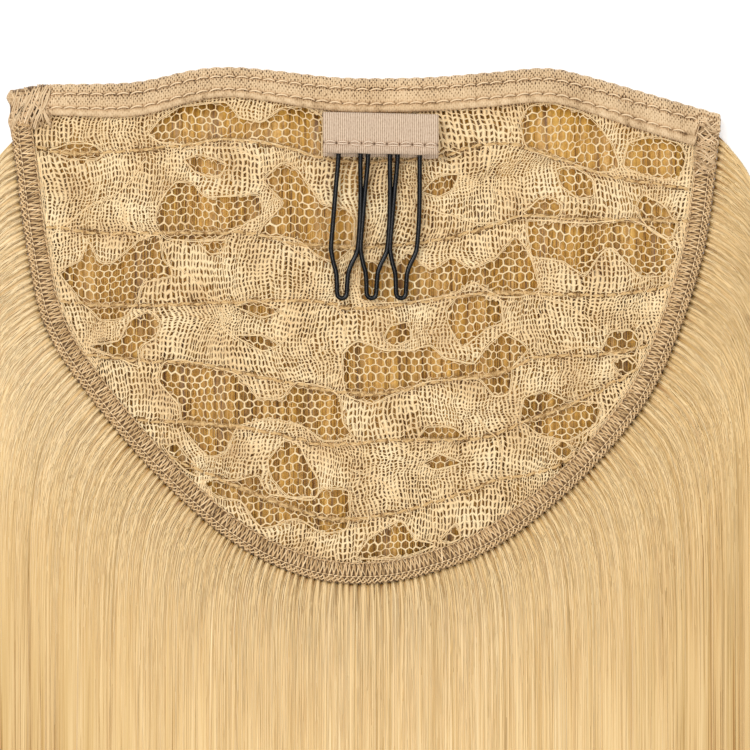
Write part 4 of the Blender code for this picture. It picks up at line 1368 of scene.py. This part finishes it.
def make_tab_stitches(material):
    """The row of stitches that closes the tab over the comb's spine, a little uneven."""
    high = tab_level() + 2 * CLOTH_WALL + WIRE_DIAMETER + 2 * CLEARANCE
    x = tab_stitch_ends()
    chance = np.random.default_rng(27)
    y = tab_top() - TAB_STITCH_PLACE * TAB_LENGTH + chance.normal(0, 0.0001, len(x))
    y -= TAB_TILT * (x - TAB_OFFSET)
    t = np.linspace(0, 1, 9)[None, :]
    share = 0.09 + 0.82 * t
    along = x[:-1, None] * (1 - share) + x[1:, None] * share
    bow = chance.uniform(0.00010, 0.00045, (len(x) - 1, 1))
    shapes = []
    for lane, drop in ((1.0, 0.0), (-0.4, 0.00022)):
        down = y[:-1, None] * (1 - t) + y[1:, None] * t + lane * bow * np.sin(math.pi * t) - drop
        height = high - 0.00045 + 0.00070 * np.sin(math.pi * t) ** 0.5
        shapes.append(threads(np.stack([along, down, height + 0 * along], axis=-1), 0.00014, 5, tone=1.0))
    return add_piece("tab_stitches", joined(shapes), material)


def loop_plan(centre, start):
    """Plan points of one loop, down its left leg, round its tip and up its right leg."""
    left, right = [], []
    for down, half, shift in LOOP_SECTIONS:
        x = centre - shift * LOOP_LEAN
        y = start - down * COMB_REACH
        left.append((x - half * LOOP_WIDTH / 2, y))
        right.append((x + half * LOOP_WIDTH / 2, y))
    _, half, shift = LOOP_SECTIONS[-1]
    tip = (centre - shift * LOOP_LEAN, start - COMB_REACH)
    return left + [tip] + right[::-1]


def make_comb(material):
    """The comb's one wire, on the solid's own path."""
    start = tab_top() - TAB_LENGTH
    spine = start + SPINE_DEPTH
    centres = [COMB_OFFSET + (i - (LOOP_COUNT - 1) / 2) * LOOP_PITCH for i in range(LOOP_COUNT)]
    top_half = LOOP_SECTIONS[0][1] * LOOP_WIDTH / 2
    turn = spine - WIRE_DIAMETER
    first, last = centres[0] - top_half, centres[-1] + top_half
    plan = [(first + 2 * WIRE_DIAMETER, spine), (first, turn)]
    for centre in centres:
        plan += loop_plan(centre, start)
        if centre != centres[-1]:
            next_leg = centre + LOOP_PITCH - top_half
            plan.append(((centre + top_half + next_leg) / 2, spine))
    plan += [(last, turn), (last - 2 * WIRE_DIAMETER, spine)]
    path = smooth_curve(plan, 420)
    in_tab = tab_level() + CLOTH_WALL + CLEARANCE + WIRE_DIAMETER / 2
    at_tip = raised(path, np.full(len(path), LACE_TOP + LACE_PUFF + CLEARANCE + WIRE_DIAMETER / 2))[:, 2]
    share = smooth_step((start - TAB_BACK_EXTRA - path[:, 1]) / COMB_REACH)
    heights = in_tab * (1 - share) + np.minimum(at_tip, in_tab) * share
    shape = threads(np.column_stack([path, heights])[None], 0.67 * WIRE_DIAMETER, 12)
    return add_piece("comb_wires", shape, material, ["wire_comb"])


# The hair

def strand_roots(run):
    """Root x and y, signed spread and fall of the strands that leave the edge at each run."""
    turned = np.arctan2(np.abs(EDGE_OUTWARD[:, 0]), -EDGE_OUTWARD[:, 1])
    side_on = turned / np.max(turned)
    from_end = np.minimum(EDGE_RUN, EDGE_LENGTH - EDGE_RUN)
    angle = turned * (1 - ROOT_TURN_AT_SIDE * side_on**3)
    angle = angle - CORNER_DROOP * np.exp(-from_end / CORNER_REACH)
    angle = angle - START_DROOP * np.exp(-np.clip(from_end - HAIR_START, 0, None) / START_REACH)
    root = EDGE_LINE + EDGE_OUTWARD * CLEARANCE
    half = np.max(np.abs(root[:, 0]))
    spread = EDGE_SPREAD * (np.abs(root[:, 0]) / half) ** 1.5
    fall = np.maximum(spread / np.maximum(np.tan(angle), 0.01), CLEARANCE)
    spread = spread * np.sign(root[:, 0])
    return [np.interp(run, EDGE_RUN, column) for column in (root[:, 0], root[:, 1], spread, fall)]


def edge_underside(x, y):
    """Just above the pile, and down on the floor beside it."""
    beside = (np.abs(x) - pile_half_width(y) - SIDE_MARGIN) / SIDE_DROP
    return (pile_height(x, y) + EDGE_UNDER_GAP) * (1 - smooth_step(beside))


def hair_columns():
    """Runs of the sheet's columns, closer where the edge runs across and wider at its sides."""
    weight = np.abs(np.gradient(EDGE_LINE[:, 0], EDGE_RUN)) + 0.45
    total = np.concatenate([[0.0], np.cumsum((weight[1:] + weight[:-1]) / 2 * np.diff(EDGE_RUN))])
    first, last = np.interp([HAIR_START, EDGE_LENGTH - HAIR_START], EDGE_RUN, total)
    return np.interp(np.linspace(first, last, HAIR_COLUMNS), total, EDGE_RUN)


def lock_profile(run, width):
    """0 in the middle of each lock and 1 in the valleys between them, with uneven widths."""
    warped = run / width + 0.25 * np.sin(run / width * 1.7) + 0.2 * np.sin(run / width * 0.63 + 1)
    return np.abs(2 * (warped % 1) - 1), np.floor(warped).astype(int)


def paleness_and_sheen(run, down):
    """The hair's tone by its place: paler near the edge's left arm, as a painted sheen, and darker below both arms.
    """
    # Painted sheen: paler near the edge's left arm.
    left = smooth_step((0.075 - run) / 0.03)
    arms = smooth_step((0.085 - np.minimum(run, EDGE_LENGTH - run)) / 0.03)
    near = np.exp(-down / 0.035)
    return (0.3 + 0.6 * left) * near - (0.18 + 0.45 * arms) * (1 - near)


def hair_surface():
    """The upper and lower grids of the edge row's hair, their places along and down it, and their tone."""
    run = hair_columns()
    root_x, root_y, spread, fall = [column[:, None] for column in strand_roots(run)]
    valley, lock = lock_profile(run, LOCK_WIDTH)
    chance = np.random.default_rng(28)
    scatter = chance.uniform(0, TIP_SCATTER, lock.max() - lock.min() + 1)[lock - lock.min()]
    shorter = TIP_NOTCH * valley**1.5 + scatter + 0.004 * patches(run / 0.0011, 0 * run, 29)
    end_x = root_x[:, 0] + spread[:, 0]
    outward = np.abs(end_x) / np.max(np.abs(end_x))
    tips = (-HAIR_LENGTH + np.maximum(shorter, 0) + TIP_ROUNDING * outward**2)[:, None]
    share = np.linspace(0, 1, HAIR_ROWS)[None, :]
    y = root_y + (tips - root_y) * share**2
    x = root_x + spread * (1 - np.exp((y - root_y) / fall))
    down = root_y - y
    grown = np.minimum(4 * share, 1)
    thickness = EDGE_ROOT_THICKNESS + (EDGE_THICKNESS - EDGE_ROOT_THICKNESS) * grown
    thickness = thickness + (EDGE_TIP_THICKNESS - EDGE_THICKNESS) * share**3
    bottom = edge_underside(x, y)
    outer = np.abs(root_x / np.max(np.abs(root_x))) ** 4
    full = thickness + (1 - share) * outer * grown * EDGE_TIP_THICKNESS
    locks = LOCK_DEPTH * valley[:, None] ** 2 * grown * (1 - share**3)
    tuft, _ = lock_profile(run, TUFT_PITCH)
    tufts = 0.0004 * tuft[:, None] ** 2 * np.exp(-down / TUFT_REACH)
    u = run[:, None]
    ridges = 0.00009 * patches(u / 0.0011 + 0 * y, down / 0.09, 30)
    ridges = ridges + 0.00007 * patches(u / 0.00045 + 0 * y, down / 0.05, 31)
    top = bottom + np.maximum(full - locks - tufts + ridges * grown, 0.35 * thickness)
    tip_taper = smooth_step((1 - share) / 0.12)
    top = bottom + (top - bottom) * (0.25 + 0.75 * tip_taper)
    upper = np.stack([x, y, top], axis=-1)
    lower = np.stack([x, y, bottom], axis=-1)
    flow = np.stack([u + 0 * y, down], axis=-1)
    # Painted shade: darker near the roots, where the overlocked edge shades the gaps between tufts, darker in the
    # valleys between locks, and lighter on the raised ridges than in the grooves between them. The tone by place adds
    # a painted sheen near the left arm.
    tone = 0.3 * patches(u / 0.0016 + 0 * y, down / 0.12, 32) - 1.2 * np.exp(-down / TUFT_REACH)
    tone = tone - 0.2 * locks / LOCK_DEPTH + 1000 * ridges + paleness_and_sheen(u, down)
    return upper, lower, flow, tone


def on_hair(surface, run, down):
    """Points of the hair's upper surface at runs along the edge and distances below it."""
    columns = hair_columns()
    lengths = surface[:, 0, 1] - surface[:, -1, 1]
    column = np.interp(run, columns, np.arange(HAIR_COLUMNS))
    length = np.interp(run, columns, lengths)
    row = np.sqrt(np.clip(down / length, 0, 1)) * (HAIR_ROWS - 1)
    i = np.clip(column.astype(int), 0, HAIR_COLUMNS - 2)
    j = np.clip(row.astype(int), 0, HAIR_ROWS - 2)
    a = (column - i)[..., None]
    b = (row - j)[..., None]
    low = surface[i, j] * (1 - a) + surface[i + 1, j] * a
    high = surface[i, j + 1] * (1 - a) + surface[i + 1, j + 1] * a
    return low * (1 - b) + high * b


def make_edge_hair(material):
    upper, lower, flow, tone = hair_surface()
    add_piece("hair_sheet", layers(upper, lower, flow, tone), material, ["edge_hair"])
    return upper


def make_tufts(surface, material):
    """Bundles of strands that leave the overlocked edge, narrow at the root and merging below."""
    tufts = round((EDGE_LENGTH - 2 * HAIR_START) / TUFT_PITCH)
    per_tuft = 15
    chance = np.random.default_rng(33)
    centre = HAIR_START + (np.arange(tufts) + 0.5) * TUFT_PITCH + chance.normal(0, 0.00012, tufts)
    lean = np.linspace(-0.5, 0.5, per_tuft)[None, :] + chance.normal(0, 0.04, (tufts, per_tuft))
    share = np.linspace(0, 1, 10)[None, None, :] ** 1.9
    length = chance.uniform(0.035, 0.115, (tufts, per_tuft, 1))
    down = share * length
    opening = chance.uniform(0.0022, 0.0048, (tufts, 1, 1))
    opened = 0.50 + 0.60 * (1 - np.exp(-down / opening))
    drift = 0.0005 * chance.normal(0, 1, (tufts, per_tuft, 1)) * share
    run = centre[:, None, None] + lean[..., None] * TUFT_PITCH * opened + drift
    run = np.clip(run, HAIR_START, EDGE_LENGTH - HAIR_START)
    points = on_hair(surface, run, down)
    dome = 1 - (2 * lean[..., None]) ** 2
    lift = 0.00020 * np.exp(-down / 0.02) + 0.0005 * dome * np.exp(-down / TUFT_REACH)
    lift = lift * (1 - share**3) - 0.00012 * share**2
    points[..., 2] += lift
    tuck = np.exp(-down / 0.0006)[..., None]
    inset = on_edge(run, np.full(run.shape, 0.0010))
    points[..., :2] = points[..., :2] * (1 - tuck) + inset * tuck
    radius = STRAND_RADIUS * (0.8 + 0.5 * dome) * (1 - 0.85 * share**2)
    edge = np.abs(2 * lean)
    tone = chance.normal(0.12, 0.28, (tufts, per_tuft, 1)) + paleness_and_sheen(run, down)
    # Painted shade: each tuft's outer strands are darker near the root, so the gaps between tufts look shaded.
    tone = tone - 0.6 * edge[..., None] * np.exp(-down / TUFT_REACH)
    stations = points.shape[2]
    half = tufts // 2
    for name, chosen in (("left_tufts", slice(0, half)), ("right_tufts", slice(half, tufts))):
        paths = points[chosen].reshape(-1, stations, 3)
        shape = threads(paths, radius[chosen].reshape(-1, stations), 3, tone=tone[chosen].reshape(-1, stations))
        add_piece(name, shape, material)


def make_loose_strands(surface, material):
    """Strands that lie over the sheet further down, each surfacing and sinking again."""
    count = 1250
    chance = np.random.default_rng(34)
    columns = hair_columns()
    pick = chance.uniform(0, HAIR_COLUMNS - 1, (count, 1))
    start = chance.uniform(0.004, 0.30, (count, 1))
    share = np.linspace(0, 1, 9)[None, :]
    length = chance.uniform(0.05, 0.13, (count, 1))
    down = start + share * length
    run = np.interp(pick, np.arange(HAIR_COLUMNS), columns)
    run = run + 0.0007 * chance.normal(0, 1, (count, 1)) * (share - 0.5)
    points = on_hair(surface, np.clip(run, 0, EDGE_LENGTH), down)
    points[..., 2] += 0.00022 * np.sin(math.pi * share) ** 0.8 - 0.00012
    radius = STRAND_RADIUS * 1.15 * np.sin(math.pi * (0.04 + 0.92 * share)) ** 0.5
    tone = chance.normal(0.15, 0.35, (count, 1)) + paleness_and_sheen(run, down)
    add_piece("loose_strands", threads(points, radius, 3, tone=tone), material)


def make_tip_strands(surface, material):
    """Thin strands past the ends of the locks."""
    count = 520
    chance = np.random.default_rng(35)
    columns = hair_columns()
    pick = chance.uniform(0, HAIR_COLUMNS - 1, (count, 1))
    run = np.interp(pick, np.arange(HAIR_COLUMNS), columns)
    share = np.linspace(0, 1, 8)[None, :]
    body = on_hair(surface, run + 0 * share, np.full((count, 8), 1.0))
    end = body[:, -1]
    reach = chance.uniform(0.012, 0.045, (count, 1))
    past = chance.uniform(0.0, 0.30, (count, 1)) * reach
    lean = chance.normal(0, 0.0012, (count, 1))
    x = end[:, :1] + lean * share**2
    y = end[:, 1:2] + reach * (1 - share) - past
    y = np.maximum(y, -HAIR_LENGTH - 0.0002)
    z = np.maximum(end[:, 2:3] * (1 - share) + 0.0001 * share, STRAND_RADIUS) + 0.0002 * (1 - share)
    radius = STRAND_RADIUS * (1 - 0.85 * share)
    tone = chance.normal(0.1, 0.3, (count, 1))
    shape = threads(np.stack([x, y, z], axis=-1), radius + 0 * y, 3, tone=tone)
    add_piece("tip_strands", shape, material)


def pile_surface(columns, rows):
    """The pile's upper grid: straight hair in fine ridges and broad locks."""
    across = np.linspace(-1, 1, columns)[:, None]
    top = np.interp(across * PILE_WIDTH / 2, BAND_CURVE[:, 0], BAND_CURVE[:, 1]) - PILE_START
    share = np.linspace(0, 1, rows)[None, :] ** 1.2
    valley, lock = lock_profile((across + 1) * PILE_WIDTH / 2, LOCK_WIDTH)
    chance = np.random.default_rng(36)
    scatter = chance.uniform(0, TIP_SCATTER, lock.max() + 1)[lock]
    tips = -HAIR_LENGTH + TIP_SCATTER + scatter + TIP_NOTCH * valley**1.5 + TIP_ROUNDING * across**2
    y = top + (tips - top) * share
    x = across * pile_half_width(y)
    height = pile_height(x, y)
    dip = np.minimum(LOCK_DEPTH, height / 3) * valley**2
    ridges = 0.00018 * patches(x / 0.0011 + 60, -y / 0.03, 37)
    ridges = ridges + 0.00012 * patches(x / 0.00045 + 150, -y / 0.02, 38)
    edge = 1 - np.abs(across) ** 12
    height = np.maximum((height - dip) + ridges * edge, 0.0003)
    # Painted shade: lighter on the raised ridges and darker in the grooves between them, over a random tone.
    tone = 0.4 * patches(x / 0.0009 + 80, -y / 0.02, 39) + 700 * ridges - 0.1
    return np.stack([x, y, height], axis=-1), tone


def make_pile(material):
    """The hair of the weft rows, flat where it rests."""
    upper, tone = pile_surface(430, 26)
    lower = upper * (1, 1, 0)
    flow = upper[..., :2]
    add_piece("hair_pile", layers(upper, lower, flow, tone), material, ["weft_hair"])


def make_under_strands(material):
    """Strands of the weft rows, seen through the lace."""
    chance = np.random.default_rng(40)
    count = 900
    x = chance.uniform(-0.93, 0.93, (count, 1)) * BASE_WIDTH / 2
    floor = np.interp(x, EDGE_LINE[:, 0], EDGE_LINE[:, 1])
    y_start = chance.uniform(-0.088, -0.006, (count, 1))
    share = np.linspace(0, 1, 9)[None, :]
    length = chance.uniform(0.012, 0.040, (count, 1))
    y = np.maximum(y_start - share * length, floor + 0.004)
    y = y - 0.0001 * share
    keep = y_start[:, 0] > floor[:, 0] + 0.012
    x = x + 0.0006 * chance.normal(0, 1, (count, 1)) * share
    level = 0.00015 + 0.0008 * np.sin(math.pi * share) * chance.uniform(0.2, 1.0, (count, 1))
    points = raised(np.stack([x + 0 * y, y], axis=-1), level + 0 * y)[keep]
    radius = 1.5 * STRAND_RADIUS * np.sin(math.pi * (0.04 + 0.92 * share)) ** 0.5
    tone = chance.normal(0.0, 0.45, (count, 1))[keep]
    add_piece("under_strands", threads(points, radius, 3, tone=tone), material)


# The stage

def make_floor():
    mesh = bpy.data.meshes.new("floor")
    half = 8.0
    mesh.from_pydata([(-half, -half, 0), (half, -half, 0), (half, half, 0), (-half, half, 0)], [], [(0, 1, 2, 3)])
    floor = bpy.data.objects.new("floor", mesh)
    bpy.context.scene.collection.objects.link(floor)
    material, tree, shader = new_finish("pale_floor", 0.9)
    shader.inputs["Base Color"].default_value = (*linear(FLOOR_WHITE), 1.0)
    shader.inputs["Emission Color"].default_value = (1.0, 1.0, 1.0, 1.0)
    shader.inputs["Emission Strength"].default_value = FLOOR_GLOW
    mesh.materials.append(material)


def add_light(name, place, target, size, power):
    """A soft square light that faces a target."""
    light = bpy.data.lights.new(name, "AREA")
    light.shape = "SQUARE"
    light.size = size
    light.energy = power
    obj = bpy.data.objects.new(name, light)
    obj.location = place
    aim = np.array(target) - np.array(place)
    obj.rotation_euler = Vector(aim).to_track_quat("-Z", "Y").to_euler()
    bpy.context.scene.collection.objects.link(obj)


def light_scene():
    world = bpy.data.worlds.new("studio")
    bpy.context.scene.world = world
    world.use_nodes = True
    world.node_tree.nodes["Background"].inputs["Color"].default_value = (1.0, 1.0, 1.0, 1.0)
    world.node_tree.nodes["Background"].inputs["Strength"].default_value = 0.55
    target = (0.0, BASE_Y - BASE_DEPTH / 2, 0.0)
    add_light("key", (-0.6, 0.65, 1.4), target, 0.5, 9.9)
    add_light("fill", (0.5, -0.3, 1.5), target, 0.9, 6.5)
    add_light("glint", (-0.22, 0.18, 1.45), target, 0.25, 2.6)


def set_camera():
    """Straight above the photo's middle, so that its frame is as wide as the photo's."""
    height = 0.8
    subject = 0.007
    camera = bpy.data.cameras.new("camera")
    camera.sensor_width = 36.0
    camera.lens = camera.sensor_width * (height - subject) / (PHOTO_WIDTH * PIXEL)
    obj = bpy.data.objects.new("camera", camera)
    middle = from_photo([(PHOTO_WIDTH / 2, PHOTO_WIDTH / 2)])[0]
    obj.location = (BASE_X + middle[0], BASE_Y + middle[1], height)
    bpy.context.scene.collection.objects.link(obj)
    bpy.context.scene.camera = obj
    bpy.context.scene.view_settings.view_transform = "Standard"


def main():
    hair = fibre_finish("blonde_hair", (HAIR_SHADE, HAIR_DARK, HAIR_MIDDLE, HAIR_LIGHT), 0.42, 0.00036, 0.05,
                        0.55, 0.3)
    # The hair under the lace: a darker copy of the hair's finish, painted shade.
    shaded_inner_hair = fibre_finish("shaded_inner_hair", (SHADED_INNER_HAIR_DARK, SHADED_INNER_HAIR_MIDDLE, SHADED_INNER_HAIR_LIGHT), 0.42, 0.0006,
                              0.012, 0.6, 0.3)
    lace = fibre_finish("lace_thread", (LACE_DARK, LACE_MIDDLE_COLOUR, LACE_LIGHT), 0.75, 0.0008, 0.0012, 0.4,
                        0.3, 0.1)
    tape = woven_finish("beige_tape", (TAPE_SHADE, TAPE_DARK, TAPE_MIDDLE, TAPE_LIGHT), 0.8, FINE_RIB_PITCH, 0.16, 0.6)
    ribbon = woven_finish("pale_ribbon", (RIBBON_SHADE, RIBBON_DARK, RIBBON_MIDDLE, RIBBON_LIGHT), 0.75, TAB_RIB_PITCH, 0.34,
                          0.1)
    overlock = fibre_finish("overlock_thread", (EDGE_DARK, EDGE_MIDDLE, EDGE_LIGHT), 0.75, 0.0004, 0.0015, 0.4,
                            0.3, 0.1)
    weft = fibre_finish("weft_thread", (WEFT_DARK, WEFT_MIDDLE, WEFT_LIGHT), 0.7, 0.0004, 0.0015, 0.4, 0.3)
    tape_thread = fibre_finish("tape_thread", (TAPE_DARK, TAPE_MIDDLE, TAPE_LIGHT), 0.75, 0.0004, 0.0015, 0.3,
                               0.3)
    ribbon_thread = fibre_finish("ribbon_thread", (RIBBON_DARK, RIBBON_MIDDLE, RIBBON_LIGHT), 0.75, 0.0004,
                                 0.0015, 0.3, 0.3)
    wire = wire_finish()

    outlines = window_outlines()
    region = lace_region()
    net = make_net(outlines, region, lace)
    toile = make_toile(outlines, region, lace)
    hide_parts("lace_base")
    cords = make_lace_cords(outlines, lace)
    make_weft_stitching(weft)
    make_weft_tracks(weft)
    make_band(tape)
    make_band_stitches(tape_thread)
    make_serging(overlock)
    make_corner_threads(tape_thread)
    make_tab(ribbon)
    make_tab_stitches(ribbon_thread)
    make_comb(wire)
    surface = make_edge_hair(hair)
    make_tufts(surface, hair)
    make_loose_strands(surface, hair)
    make_tip_strands(surface, hair)
    make_pile(shaded_inner_hair)
    make_under_strands(shaded_inner_hair)
    make_floor()
    light_scene()
    set_camera()


tab_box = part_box("comb_tab")
BASE_X = (tab_box[0][0] + tab_box[1][0]) / 2 - TAB_OFFSET
BASE_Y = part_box("serged_edge")[0][1] + BASE_DEPTH
main()
